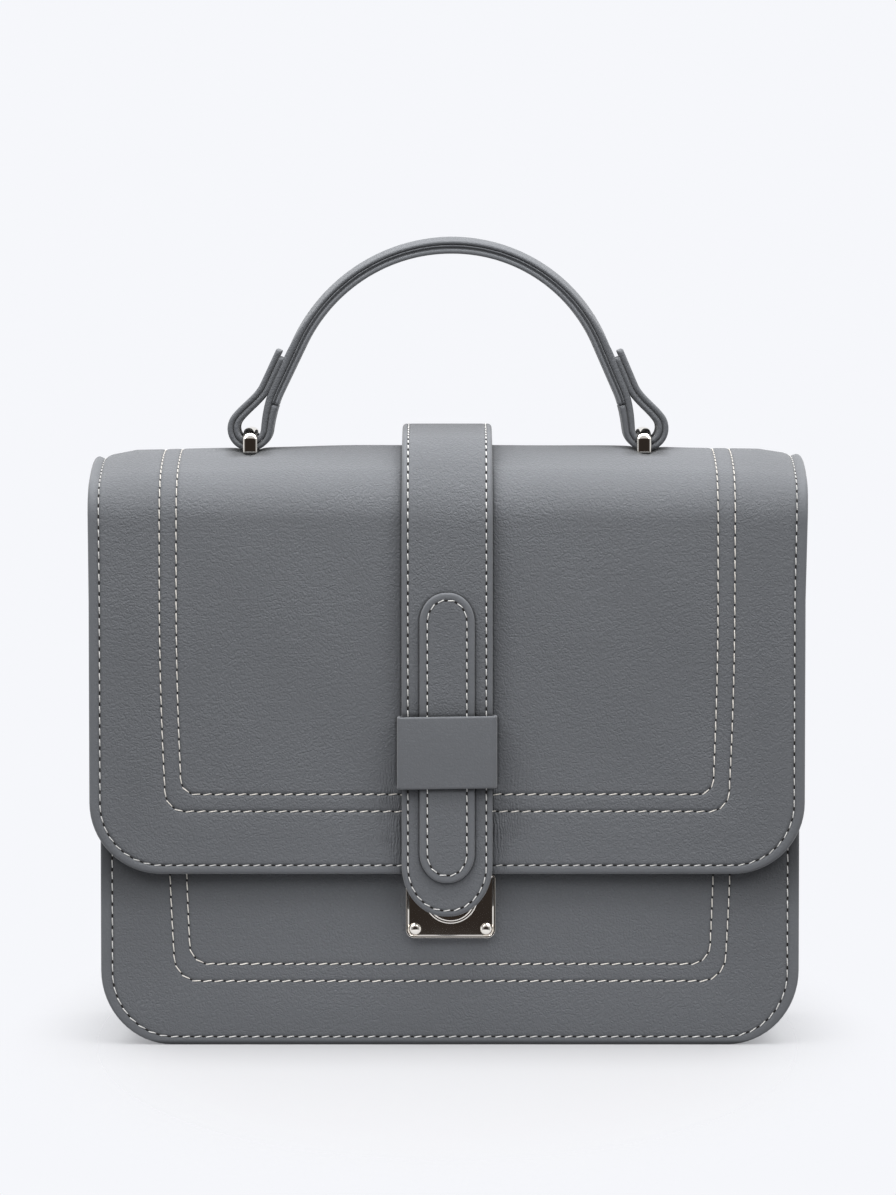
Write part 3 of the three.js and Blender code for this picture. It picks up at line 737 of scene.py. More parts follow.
def polished_plating(metal):
    """Polished pale gold plating with faint wipe marks."""
    recipe = Finish("pale_gold")
    place = recipe.place()
    haze, wipe = recipe.noise(place, 300.0, 3.0), recipe.noise(place, 90.0)
    tint = recipe.blend(wipe, shade(metal.colour, 0.95), shade(metal.colour, 1.05))
    return recipe.finish(Base_Color=tint, Roughness=metal.roughness + 0.03 * haze * haze, Metallic=1.0)


# Sewing


def guide(flat, form, height, loop=False):
    """Points and normals along a line on a piece's face."""
    level = np.full(len(flat), height)
    low, high = (form(flat[:, 0], flat[:, 1], level + lift) for lift in (0.0, 0.2))
    facing = high - low
    return low, facing / np.linalg.norm(facing, axis=1)[:, None], loop


def row_guide(sides, form, height, loop):
    """Guide of a sewn row: a whole ring, or its left side, stop end and right side."""
    flat = closed(sides) if loop else np.concatenate([sides[0][:-1], sides[1][:-1], sides[2]])
    return guide(flat, form, height, loop)


def inner_rows(cut, form, height, rows):
    """Guides of the sewn rows inside a hem; the first is only a plain ring."""
    return [row_guide(cut.ring(*row_ring(row, 0, ROW_START)), form, height, False) for row in rows[1:]]


def sewing_tree(kind):
    """Node tree that lays stitches, or the holes between them, along guide lines."""
    tree = bpy.data.node_groups.new(f"Row of {kind}", "GeometryNodeTree")
    sorts = {"Geometry": "Geometry", "Finish": "Material"}
    for label in ("Geometry", "Pitch", "Length", "Thickness", "Slant", "Finish"):
        sort = f"NodeSocket{sorts.get(label, 'Float')}"
        tree.interface.new_socket(label, in_out="INPUT", socket_type=sort)
    tree.interface.new_socket("Geometry", in_out="OUTPUT", socket_type="NodeSocketGeometry")
    recipe = Recipe(tree)
    node = recipe.node
    entry = tree.nodes.new("NodeGroupInput").outputs
    guides, pitch, length, thickness, slant, finish = (Value(recipe, socket) for socket in entry[:6])
    half_length, radius = length * 0.5, thickness * 0.5
    curve = node("GeometryNodeMeshToCurve", {}, {"Mesh": guides})
    points = node("GeometryNodeResampleCurve", {"mode": "LENGTH"}, {"Curve": curve, "Length": pitch * 0.5})
    odd = node("ShaderNodeMath", {"operation": "MODULO"}, {0: node("GeometryNodeInputIndex"), 1: 2.0})
    facing = node("GeometryNodeInputNamedAttribute", {"data_type": "FLOAT_VECTOR"}, {"Name": "facing"})
    along = node("GeometryNodeInputTangent")
    (level,) = recipe.axes(along, "X")
    lie = node(
        "FunctionNodeAxesToRotation", {"primary_axis": "Z", "secondary_axis": "X"}, {0: facing, 1: along}
    )
    lean = slant * recipe.larger(abs(level), 0.3)
    twist = node("FunctionNodeAxisAngleToRotation", {}, {"Axis": (0, 0, 1), "Angle": lean})
    turned = node("FunctionNodeRotateRotation", {"rotation_space": "LOCAL"}, {0: lie, 1: twist})

    def spot(*parts):
        return node("ShaderNodeCombineXYZ", {}, dict(enumerate(parts)))

    # A hole is a flat near-black lens on the face: painted shade for the pit.
    if kind == "holes":
        ball = node("GeometryNodeMeshUVSphere", {}, {"Segments": 8, "Rings": 4, "Radius": 1.0})
        size = spot(half_length, radius, radius * 0.3)
        shape = node("GeometryNodeTransform", {}, {"Geometry": ball, "Scale": size})
    else:
        start, stop = (spot(half_length * sign, 0.0, radius * -0.9) for sign in (-1.0, 1.0))
        bend = {"Start": start, "Middle": spot(0.0, 0.0, radius * 1.9), "End": stop, "Resolution": 6}
        arch = node("GeometryNodeCurveQuadraticBezier", {}, bend)
        tube = node("GeometryNodeCurvePrimitiveCircle", {}, {"Resolution": 7, "Radius": radius})
        outline = {"Curve": arch, "Profile Curve": tube, "Fill Caps": True}
        shape = node("GeometryNodeCurveToMesh", {}, outline)
    laid = {"Points": points, "Instance": shape, "Rotation": turned}
    laid["Selection"] = odd if kind == "holes" else 1 - odd
    row = node("GeometryNodeInstanceOnPoints", {}, laid)
    whole = node("GeometryNodeRealizeInstances", {}, {"Geometry": row})
    finished = node("GeometryNodeSetMaterial", {}, {"Geometry": whole, "Material": finish})
    recipe.give(tree.nodes.new("NodeGroupOutput").inputs[0], finished)
    return tree


TREES = {}


def lay_row(name, kind, guides, finish, pitch, length, thickness, slant):
    """One plain mesh of stitches or holes along guide lines."""
    points, facings, edges = [], [], []
    first = 0
    for place, facing, loop in guides:
        count = len(place)
        step = np.arange(count if loop else count - 1)
        edges += (np.column_stack([step, (step + 1) % count]) + first).tolist()
        points.append(place * MM)
        facings.append(facing)
        first += count
    mesh = bpy.data.meshes.new(name)
    mesh.from_pydata(np.concatenate(points).tolist(), edges, [])
    layer = mesh.attributes.new("facing", "FLOAT_VECTOR", "POINT")
    layer.data.foreach_set("vector", np.concatenate(facings).astype(np.float32).ravel())
    piece = bpy.data.objects.new(name, mesh)
    bpy.context.scene.collection.objects.link(piece)
    if kind not in TREES:
        TREES[kind] = sewing_tree(kind)
    sewn = piece.modifiers.new("Sewing", "NODES")
    sewn.node_group = TREES[kind]
    values = {"Pitch": pitch, "Length": length, "Thickness": thickness, "Slant": slant, "Finish": finish}
    for socket in TREES[kind].interface.items_tree:
        if socket.in_out == "INPUT" and socket.name in values:
            sewn[socket.identifier] = values[socket.name]
    ready = piece.evaluated_get(bpy.context.evaluated_depsgraph_get())
    result = bpy.data.meshes.new_from_object(ready)
    piece.modifiers.clear()
    piece.data = result
    bpy.data.meshes.remove(mesh)
    result.name = name
    result.polygons.foreach_set("use_smooth", [True] * len(result.polygons))
    if not len(result.polygons):
        raise RuntimeError(f"{name}: no stitches were laid")
    keep(piece, SLOT_THREAD if kind == "stitches" else SLOT_LEATHER)


def sew(name, guides, thread="thread", length=3.0, hole=0.95, pitch=3.75, thick=1.0):
    """Threads and needle holes along guide lines, lengths in millimetres; the holes are dark marks of painted
    shade.
    """
    sewing = settings().sewing
    pitch = pitch * sewing.pitch_share * MM
    thickness = sewing.thickness * thick
    lay_row(
        f"{name}_thread", "stitches", guides, finishes()[thread], pitch, length * MM, thickness, sewing.slant
    )
    lay_row(
        f"{name}_needle_holes", "holes", guides, finishes()["hole"], pitch, hole * MM, thickness * 1.8, 0.0
    )


def keep(piece, slot, *nodes):
    """Puts a finished piece on the frame."""
    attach(piece, "root")
    if nodes:
        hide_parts(*nodes)


def leather_piece(node, form, stack, finish="leather"):
    """Makes one leather piece in the place of its node."""
    piece = ring_solid(f"{node}_leather", form, stack, finishes()[finish])
    keep(piece, SLOT_LEATHER, node)


# Shapes of the pieces, in millimetres: each turns flat places and heights into places on the bag

BODY_SHIFT, BODY_EDGE = span("gusset", Y)
BODY_ASIDE = 0.95
FLAP_LOW, FLAP_HIGH = node_box("flap")
STRAP_LOW, STRAP_HIGH = node_box("strap")
FLAP_THICKNESS, STRAP_THICKNESS, PANEL_THICKNESS = 2.6, 2.8, 2.0
FLAP_CREST, FLAP_BACK_END = 200.8, 152.0
STRAP_CREST, STRAP_BACK_END = 208.2, 162.0
HANDLE_Y, HANDLE_DEPTH = span("handle_top", Y)
HANDLE_LEAN, HANDLE_LEAN_FROM, HANDLE_ASIDE = 0.021, 207.0, 0.3
LOOP_X, LOOP_Z = 67.4, 206.8

# Sewn rows inside a hem, in millimetres: inset at the sides and the front edge, corner radius, lean

PANEL_ROWS = [(14.0, 13.0, 12.0, 0.6), (22.8, 21.6, 8.0, 2.5), (28.5, 27.4, 6.4, 2.3)]
FLAP_ROWS = [(14.0, 12.5, 12.0, 1.0), (23.75, 21.15, 6.5, 2.1), (29.35, 26.9, 5.0, 2.1)]


def ease(value, first, width):
    """A straight rise from 0 to 1 over a width."""
    return np.clip((value - first) / width, 0, 1)


def ripple(x, s):
    """Faint unevenness of a stiffened hide."""
    return (
        0.10 * np.sin(x / 13.0 + 0.7) * np.sin(s / 17.0 + 0.4)
        + 0.07 * np.sin(x / 7.3 - s / 9.1 + 1.9)
        + 0.10 * np.sin(s / 31.0 - x / 41.0)
    )


def flap_drop(x):
    """How far the flap's top has settled away from its middle, less on the right, with a raised border."""
    beyond, border = ease(np.abs(x), 108, 9.2), ease(np.abs(x), 117, 1.5)
    return np.where(x > 0, 0.78, 1.0) * (2.0 * (x / 120) ** 2 + 2.7 * beyond**1.6 - 0.8 * border)


def lean_back(place, normal):
    """How far a front leans back towards its fold."""
    return 1.9 * np.clip((place[:, 1] - 135) / 45, 0, 1.3) ** 2 * np.maximum(0, -normal[:, 0])


def flap_form():
    """The flap's line, and its form: rippled, leaning back, settled, dimpled under the handle's loops."""
    shape = settings().shape
    track = over_the_top(
        FLAP_LOW[Y] + FLAP_THICKNESS, FLAP_HIGH[Y] - FLAP_THICKNESS, FLAP_CREST - FLAP_THICKNESS,
        shape.flap_crown / MM, shape.flap_fold / MM - FLAP_THICKNESS, FLAP_BACK_END, FLAP_LOW[Z],
    )

    def form(x, s, h):
        place, normal = track.at(s)
        aside, up = np.abs(x), np.maximum(0, normal[:, 1])
        inner = (1 - ease(aside, 98, 20)) * (1 - ease(s, track.total - 20, 20))
        upright = 0.1 * ease(aside, 20, 40) + np.where(x > 0, 0.75, 0.5) * ease(aside, 95, 25)
        out = h + ripple(x, s) * inner - lean_back(place, normal) * (1 - upright)
        y, z = place[:, 0] + normal[:, 0] * out, place[:, 1] + normal[:, 1] * out - flap_drop(x) * up**2
        flare = np.where(x > 0, 1.05, -0.45) * ease(aside, 90, 30) * ease(z, 150, 45)
        for side in (-1, 1):
            across = (x - HANDLE_ASIDE - side * LOOP_X) / 3.2
            near = across**2 + (np.maximum(np.abs(y - HANDLE_Y) - 13, 0) / 5.0) ** 2
            z = z - 1.3 * np.exp(-near) * up
        return np.column_stack([x + flare, y, z])

    return track, form


def panel_form(track, bulge_length):
    """A panel's form: crowned over a length, and rippled."""

    def form(x, s, h):
        place, normal = track.at(s)
        across = 1 - np.minimum(1, np.abs(x) / 117.5) ** 2
        bulge = 1.2 * np.sin(math.pi * np.minimum(1, s / bulge_length)) + 0.6 * ripple(x, s)
        out = h + bulge * across
        return np.column_stack([x + BODY_ASIDE, place[:, 0] + normal[:, 0] * out, place[:, 1]])

    return form


def strap_form():
    """The strap's line, and its form, which leans back as the flap does."""
    shape = settings().shape
    track = over_the_top(
        STRAP_LOW[Y] + STRAP_THICKNESS, STRAP_HIGH[Y] - STRAP_THICKNESS, STRAP_CREST - STRAP_THICKNESS,
        shape.strap_crown / MM, shape.strap_fold / MM - STRAP_THICKNESS, STRAP_BACK_END, STRAP_LOW[Z],
    )

    def form(x, s, h):
        place, normal = track.at(s)
        return np.column_stack([x, place + normal * (h - lean_back(place, normal))[:, None]])

    return track, form


# Operators


class SATCHEL_OT_body(bpy.types.Operator):
    """Makes the two panels and the strip between them"""

    bl_idname = "satchel.body"
    bl_label = "Body"

    def execute(self, context):
        sewing, shape = settings().sewing, settings().shape
        hem, sink = sewing.hem / MM, sewing.sink / MM
        corner, square = (shape.body_corner / MM, shape.body_corner_rise / MM), (1.0, 1.0)
        level = PANEL_THICKNESS - sink + THREAD_LIFT
        half, inner, top = node_box("front_panel")[1]
        track = Track([line((inner, top), (inner, 0.0))], 1)
        cut = Cut(half, track.total, square, corner, 90, 90, shares=(1.15, 1.0, 0.8))
        form = panel_form(track, track.total)
        stack = leather_stack(cut, 0.0, PANEL_THICKNESS, hem, sink, PANEL_ROWS)
        leather_piece("front_panel", form, stack, "panel")
        sew("front_panel_hem", [row_guide(cut.inset(hem), form, level, False)], "hem_thread", 2.6, 1.4, 3.9)
        sew("front_panel_rows", inner_rows(cut, form, level, PANEL_ROWS), pitch=3.79)

        low, high = node_box("back_panel")
        inner = low[Y]
        track = Track([line((inner, 0.0), (inner, high[Z]))], 1)
        cut = Cut(half, track.total, corner, square, 90, 90)
        form = panel_form(track, FLAP_BACK_END)
        leather_piece("back_panel", form, leather_stack(cut, 0.0, PANEL_THICKNESS, hem, sink))
        sew("back_panel_hem", [row_guide(cut.inset(hem), form, level, True)], "hem_thread", 2.5, 1.4)
        self.gusset(half)
        return {"FINISHED"}

    @staticmethod
    def gusset(half):
        """A strip down one side, along the bottom and up the other, its edges turned out."""
        shape, top = settings().shape, node_box("gusset")[1][Z]
        thick, web, bend, fold_depth, edge = 1.6, 5.0, 1.8, 5.0, BODY_EDGE
        across, radius = half - shape.body_corner / MM, shape.body_corner_rise / MM
        stretch = (shape.body_corner / shape.body_corner_rise, 1.0)
        route = Track(
            [
                line((-half, top), (-half, radius)),
                arc((0.0, radius), radius, math.pi, 1.5 * math.pi) * stretch - (across, 0.0),
                line((-across, 0.0), (across, 0.0)),
                arc((0.0, radius), radius, 1.5 * math.pi, 2 * math.pi) * stretch + (across, 0.0),
                line((half, radius), (half, top)),
            ],
            -1,
        )
        section = Track(rounded([(-edge, 0.0), (-edge, web), (edge, web), (edge, 0.0)], bend), 1)

        def form(x, s, h):
            place, inwards = route.at(s)
            spot, normal = section.at(x + section.total / 2)
            depth, inset = spot[:, 0] + normal[:, 0] * h, spot[:, 1] + normal[:, 1] * h
            rise = np.maximum(0, (place[:, 1] - radius) / (top - radius)) ** 2
            fold = np.clip(1 - np.abs(depth / edge), 0, 1)
            inset = inset + fold_depth * rise * np.sin(fold * math.pi / 2) ** 1.3
            spot = place + inwards * inset[:, None]
            return np.column_stack([spot[:, 0] + BODY_ASIDE, depth + BODY_SHIFT, spot[:, 1]])

        cut = Cut(section.total / 2, route.total, (0.8, 0.8), (0.8, 0.8), 260, 70, 3)
        leather_piece("gusset", form, leather_stack(cut, 0.0, thick))


class SATCHEL_OT_flap(bpy.types.Operator):
    """Makes the flap from the back seam over the top to its front hem"""

    bl_idname = "satchel.flap"
    bl_label = "Flap"

    def execute(self, context):
        sewing, shape = settings().sewing, settings().shape
        hem, sink = sewing.hem / MM, 1.5 * sewing.sink / MM
        track, form = flap_form()
        corner = (shape.flap_corner / MM,) * 2
        cut = Cut(FLAP_HIGH[X], track.total, (3.0, 3.0), corner, 190, 90, shares=(1.07, 1.0, 0.88))
        stack = leather_stack(cut, 0.0, FLAP_THICKNESS, hem, sink, FLAP_ROWS)
        flap = ring_solid("flap_leather", form, stack, finishes()["flap"])
        self.crease(flap.data)
        keep(flap, SLOT_LEATHER, "flap")
        level = FLAP_THICKNESS - sink + THREAD_LIFT
        sew("flap_hem", [row_guide(cut.inset(hem), form, level, True)], "flap_hem_thread", 2.4, 1.5, 3.7)
        sew("flap_rows", inner_rows(cut, form, level, FLAP_ROWS), pitch=3.88)
        return {"FINISHED"}

    @staticmethod
    def crease(mesh):
        """Marks where the leather is drawn into creases, on both sides of the strap's lower end; the finish
        bumps them and darkens them with painted shade.
        """
        spots = np.array([vertex.co for vertex in mesh.vertices]) / MM
        aside, rise = (np.abs(spots[:, X]) - 18) / 10, (spots[:, Z] - 76) / 16
        creases = mesh.attributes.new("crease", "FLOAT", "POINT")
        creases.data.foreach_set("value", np.exp(-(aside**2) - rise**2).astype(np.float32))


class SATCHEL_OT_strap(bpy.types.Operator):
    """Makes the strap, its round-ended patch and the keeper"""

    bl_idname = "satchel.strap"
    bl_label = "Strap"

    def execute(self, context):
        sewing, shape = settings().sewing, settings().shape
        sink = 0.6 * sewing.sink / MM
        half, hem = STRAP_HIGH[X], sewing.strap_hem / MM
        track, form = strap_form()
        cut = Cut(half, track.total, (2.5, 2.5), (half - 0.6, shape.strap_tip / MM), 220, 8, 14)
        leather_piece("strap", form, leather_stack(cut, 0.0, STRAP_THICKNESS, hem, sink), "strap")
        level = STRAP_THICKNESS - sink + THREAD_LIFT
        sew("strap", [row_guide(cut.inset(hem), form, level, True)], "hem_thread", 2.1, 1.3, 3.5)

        low, high = node_box("strap_tab")
        half, hem = high[X], sewing.tab_hem / MM
        inner, thick, buried = high[Y], high[Y] - low[Y], -0.2
        flat = Track([line((inner, high[Z]), (inner, low[Z]))], 1)
        end = (half - 0.5, 10.0)
        cut = Cut(half, flat.total, end, end, 70, 4, 12)

        def tab(x, s, h):
            place, normal = flat.at(s)
            return np.column_stack([x, place[:, 0] + normal[:, 0] * h, place[:, 1]])

        leather_piece("strap_tab", tab, leather_stack(cut, buried, thick, hem, sink), "patch")
        level = thick - sink + THREAD_LIFT
        sew("strap_tab", [row_guide(cut.inset(hem), tab, level, True)], "hem_thread", 2.2, 1.3, 3.43)
        self.keeper()
        return {"FINISHED"}

    @staticmethod
    def keeper():
        """A band round the strap and its patch, a little turned, its ends meeting behind."""
        low, high = node_box("keeper")
        middle, half = span("keeper", Z)
        wall, corner, gap, tilt = 1.2, 0.5, 0.1, 0.014
        x, front, back = high[X] - wall, low[Y] + wall, high[Y] - wall
        corners = [(gap, back), (x, back), (x, front), (-x, front), (-x, back), (-gap, back)]
        loop = Track(rounded(corners, corner), -1)

        def band(x, s, h):
            place, normal = loop.at(s)
            spot = place + normal * h[:, None]
            crown = 0.25 * (1 - (x / half) ** 2) * (normal[:, 1] < -0.7)
            return np.column_stack([spot[:, 0], spot[:, 1] - crown, middle + x + tilt * spot[:, 0]])

        cut = Cut(half, loop.total, (0.4, 0.4), (0.4, 0.4), 150, 26, 3)
        leather_piece("keeper", band, leather_stack(cut, 0.0, wall), "smooth")


def turned(name, profile, centre, steps, cut_top=None):
    """A closed metal piece round an axis towards the front, from (radius, forward) pairs."""
    angle = np.linspace(0, 2 * math.pi, steps, endpoint=False)
    points = []
    for radius, forward in profile:
        z = centre[Z] + radius * np.sin(angle)
        if cut_top is not None:
            z = np.minimum(z, cut_top)
        x = centre[X] + radius * np.cos(angle)
        points.append(np.column_stack([x, np.full(steps, centre[Y] - forward), z]))
    points += [points[0].mean(0)[None], points[-1].mean(0)[None]]
    step = np.arange(steps)
    ahead = (step + 1) % steps
    last = (len(profile) - 1) * steps
    back, front = np.full(steps, last + steps), np.full(steps, last + steps + 1)
    rings = range(0, last, steps)
    sides = [(a + step, a + ahead, a + steps + ahead) for a in rings]
    sides += [(a + step, a + steps + ahead, a + steps + step) for a in rings]
    sides += [(back, ahead, step), (front, last + step, last + ahead)]
    faces = np.concatenate([np.column_stack(corners) for corners in sides])
    return mesh_object(name, np.concatenate(points), faces, finishes()["plating"])


class SATCHEL_OT_lock(bpy.types.Operator):
    """Makes the lock plate with its rim and boss, its two screws and the hidden stud"""

    bl_idname = "satchel.lock"
    bl_label = "Lock"

    def execute(self, context):
        low, high = node_box("lock_plate")
        middle, half = span("lock_plate", X)
        back, top = high[Y], high[Z] + 0.4
        face, boss_height = 1.3, 50.5
        cut = Cut(half, top - low[Z], (1.5, 1.5), (2.8, 2.8), 24, 24, 6)

        def form(x, s, h):
            return np.column_stack([x + middle, back - h, top - s])

        rings = [
            (0.25, 0.0), (0.06, 0.08), (0.0, 0.3), (0.0, 1.46), (0.03, 1.55), (0.1, 1.6), (0.16, 1.6),
            (0.44, 1.6), (0.5, 1.6), (0.56, 1.59), (0.6, 1.57), (1.0, 1.33), (1.04, 1.31), (1.08, face),
            (1.15, face), (1.3, face),
        ]
        stack = [(cut.inset(away), height, PLAIN) for away, height in rings]
        plate = ring_solid("lock_plate_metal", form, stack, finishes()["plating"])
        profile = [
            (9.1, -0.2), (9.1, 0.75), (9.09, 0.79), (9.06, 0.82), (8.79, 0.98), (8.76, 1.0), (8.72, 1.0),
            (8.3, 1.0), (8.23, 1.0), (8.2, 1.04), (8.2, 1.75), (8.19, 1.79), (8.16, 1.82), (7.89, 1.98),
            (7.86, 2.0), (7.82, 2.0), (7.5, 2.0), (4.0, 2.0), (0.3, 2.0),
        ]
        boss = turned("boss", profile, (middle, back - face, boss_height), 96, top - 1.1)
        with context.temp_override(active_object=plate, selected_editable_objects=[plate, boss]):
            bpy.ops.object.join()
        keep(plate, SLOT_LOCK, "lock_plate")
        for side in ("left", "right"):
            self.screw(f"lock_screw_{side}")
        low, high = node_box("clasp_stud")
        depth, radius, edge = span("clasp_stud", Y)[1], span("clasp_stud", X)[1], 0.3
        profile = [(edge, -depth), (radius - edge, -depth), (radius, edge - depth), (radius, depth - edge)]
        profile += [(radius - edge, depth), (edge, depth)]
        keep(turned("clasp_stud_metal", profile, (low + high) / 2, 40), SLOT_LOCK, "clasp_stud")
        return {"FINISHED"}

    @staticmethod
    def screw(name):
        """A shank in the plate and a domed head on it."""
        (x, radius), z = span(name, X), span(name, Z)[0]
        profile = [(0.3, -1.6), (0.9, -1.6), (0.9, -0.3), (radius - 0.1, -0.3), (radius, -0.2)]
        turns = np.linspace(0.1, math.pi / 2 - 0.12, 12)
        profile += [(radius * math.cos(turn), 0.1 + 0.9 * math.sin(turn)) for turn in turns]
        head = turned(f"{name}_metal", profile, (x, node_box(name)[0][Y] + 1.1, z), 40)
        keep(head, SLOT_LOCK, name)


class SATCHEL_OT_handle(bpy.types.Operator):
    """Makes the handle's four leather layers"""

    bl_idname = "satchel.handle"
    bl_label = "Handle"

    HEM = 2.2

    def execute(self, context):
        half_runs, marks = self.half_line(settings().shape)
        mirrored = [run[::-1] * (-1, 1) for run in half_runs[::-1]]
        track, reach = Track(mirrored + half_runs, -1), Track(half_runs, -1).total
        stations = [0.0, *marks.values(), reach]
        layers = {
            "top": [2.85, 2.6, 2.45, 1.95, 1.95, 1.75],
            "lining": [-2.85, -2.5, -2.3, -2.1, -2.0, -1.9],
            "wrap": [-2.6, -2.6, -2.5, -2.0, -1.95, -1.9],
        }
        lining_end, joint = marks["leg"] + (marks["bend"] - marks["leg"]) / 3, 0.08
        spans = {
            "handle_top": ("top", 2.0 - reach, reach - 2.0, 300),
            "handle_lining": ("lining", -lining_end, lining_end, 170),
            "handle_wrap_left": ("wrap", -reach, -lining_end - joint, 100),
            "handle_wrap_right": ("wrap", lining_end + joint, reach, 100),
        }
        for name, (layer, start, stop, steps) in spans.items():

            def form(x, s, h, layer=layer, start=start):
                place, normal = track.at(s + start + reach)
                along = np.abs(s + start)
                thick = np.interp(along, stations, layers[layer])
                crown = self.crown(x, along, marks) if layer == "top" else 1.0
                out = math.copysign(0.03, thick[0]) + thick * h * crown
                spot = place + normal * out[:, None]
                lean = HANDLE_ASIDE + HANDLE_LEAN * np.maximum(0, spot[:, 1] - HANDLE_LEAN_FROM)
                return np.column_stack([spot[:, 0] + lean, x + HANDLE_Y, spot[:, 1]])

            cut = Cut(HANDLE_DEPTH, stop - start, (1.2, 1.2), (1.2, 1.2), steps, 14, 4, (1.0, 0.2, 0.2))
            leather_piece(name, form, self.layer_stack(cut, layer))
            sides, level = cut.inset(self.HEM), 0.8 if layer == "top" else 0.86
            guides = [guide(side[8:-8], form, level) for side in sides[::2]]
            sew(name, guides, "hem_thread", 2.2, 1.2, 3.5, 0.8)
        return {"FINISHED"}

    @staticmethod
    def crown(x, s, marks):
        """Share of the top layer's thickness: padded along the arch, with a thin sewn border."""
        padded = np.clip((HANDLE_DEPTH - np.abs(x) - 3.2) / 5.5, 0, 1)
        arch = 0.55 + 0.45 * np.sin(padded * math.pi / 2)
        return arch + (1 - arch) * ease(s, marks["arch"] - 12, 16)

    def layer_stack(self, cut, layer):
        """Rings of one layer in shares of its thickness; the lining's edge is grooved, and the edges are
        darker with painted shade where the layers meet.
        """
        edge = [(1.0 - math.cos(turn), 0.5 + 0.5 * math.sin(turn)) for turn in EDGE_TURNS]
        if layer == "lining":
            edge = [
                (0.6, 0.0), (0.25, 0.03), (0.1, 0.08), (0.12, 0.14), (0.35, 0.2), (0.7, 0.26), (0.8, 0.36),
                (0.65, 0.46), (0.3, 0.52), (0.08, 0.58), (0.02, 0.68), (0.02, 0.84), (0.12, 0.94),
                (0.4, 0.99), (1.0, 1.0),
            ]
        stack = []
        for away, height in edge:
            # Dark is the edge paint; where a layer meets the next and in the lining's groove it is darker
            # still, as painted shade.
            worn, dark = 0.6, 0.45
            if layer == "lining":
                worn, dark = (0.6, min(1.0, 1.3 * away)) if height < 0.5 else (1.0, 0.0)
            elif height < 0.12:
                dark = 1.0
            stack.append((cut.inset(away), height, np.array([worn, dark])))
        for away in (-0.7, -0.4, -0.2, 0, 0.2, 0.4, 0.7, 1.4):
            mark = np.array([0.3, seam_mark(away)])
            stack.append((cut.inset(self.HEM + away), 1 - groove(away, 0.2), mark))
        return stack

    @staticmethod
    def half_line(shape):
        """Runs of the middle line from the arch's top, down a leg, round the loop and up to the tip."""
        arch, loop = shape.arch / MM, shape.loop / MM
        arch_centre, loop_centre = np.array([0.0, 212.95]), np.array([LOOP_X, LOOP_Z])
        turn, first, last = np.radians([66, 186, 398])
        leg, tip, apart, pull = 18.0, 13.2, 4.2, 4.5
        down = np.array([math.cos(turn), -math.sin(turn)])
        outwards = np.array([math.sin(turn), math.cos(turn)])
        arch_end = arch_centre + outwards * arch
        leg_end = arch_end + down * leg
        tip_start = leg_end + outwards * apart
        round_loop = arc(loop_centre, loop, first, last)
        into_loop, out_of_loop = (np.array([-math.sin(a), math.cos(a)]) for a in (first, last))
        runs = [
            arc(arch_centre, arch, math.pi / 2, math.pi / 2 - turn),
            line(arch_end, leg_end),
            sweep(leg_end, leg_end + down * pull, round_loop[0] - into_loop * pull, round_loop[0]),
            round_loop,
            sweep(round_loop[-1], round_loop[-1] + out_of_loop * pull, tip_start + down * pull, tip_start),
            line(tip_start, tip_start - down * tip),
        ]
        ends = np.cumsum([np.linalg.norm(np.diff(run, axis=0), axis=1).sum() for run in runs])
        return runs, dict(zip(("arch", "leg", "bend", "loop"), ends))


class SATCHEL_OT_staples(bpy.types.Operator):
    """Makes the two polished bridges that hold the handle's loops"""

    bl_idname = "satchel.staples"
    bl_label = "Handle bridges"

    def execute(self, context):
        for side in ("left", "right"):
            self.staple(f"handle_staple_{side}")
        return {"FINISHED"}

    @staticmethod
    def staple(name):
        """A strip up from the flap, over the loop in a low arch and down again."""
        low, high = node_box(name)
        thick, bend, rise = 1.5, 0.7, 1.5
        x, half = span(name, X) + np.array([0.0, 0.25])
        back, front = high[Y] - thick, low[Y] + thick
        foot, under = low[Z] - rise, high[Z] - thick - 0.7
        track = Track(rounded([(back, foot), (back, under), (front, under), (front, foot)], bend), 1)

        def form(across, s, h):
            place, normal = track.at(s)
            spot = place + normal * h[:, None]
            lift = ease(place[:, 1], foot, under - foot)
            arch = ((2 * spot[:, 0] - front - back) / (back - front)) ** 2
            round_over = 0.8 * (across / half) ** 2 * np.maximum(0, normal[:, 1])
            return np.column_stack([across + x, spot[:, 0], spot[:, 1] - lift * rise * arch - round_over])

        cut = Cut(half, track.total, (0.5, 0.5), (0.5, 0.5), 110, 12, 3)
        edge = [
            (0.4, 0.0), (0.12, 0.1), (0.0, 0.35), (0.0, 0.85), (0.1, 1.15), (0.3, 1.36), (0.6, 1.46),
            (0.95, thick),
        ]
        stack = [(cut.inset(away), height, PLAIN) for away, height in edge]
        strip = ring_solid(f"{name}_metal", form, stack, finishes()["plating"])
        keep(strip, SLOT_HANDLE, name)


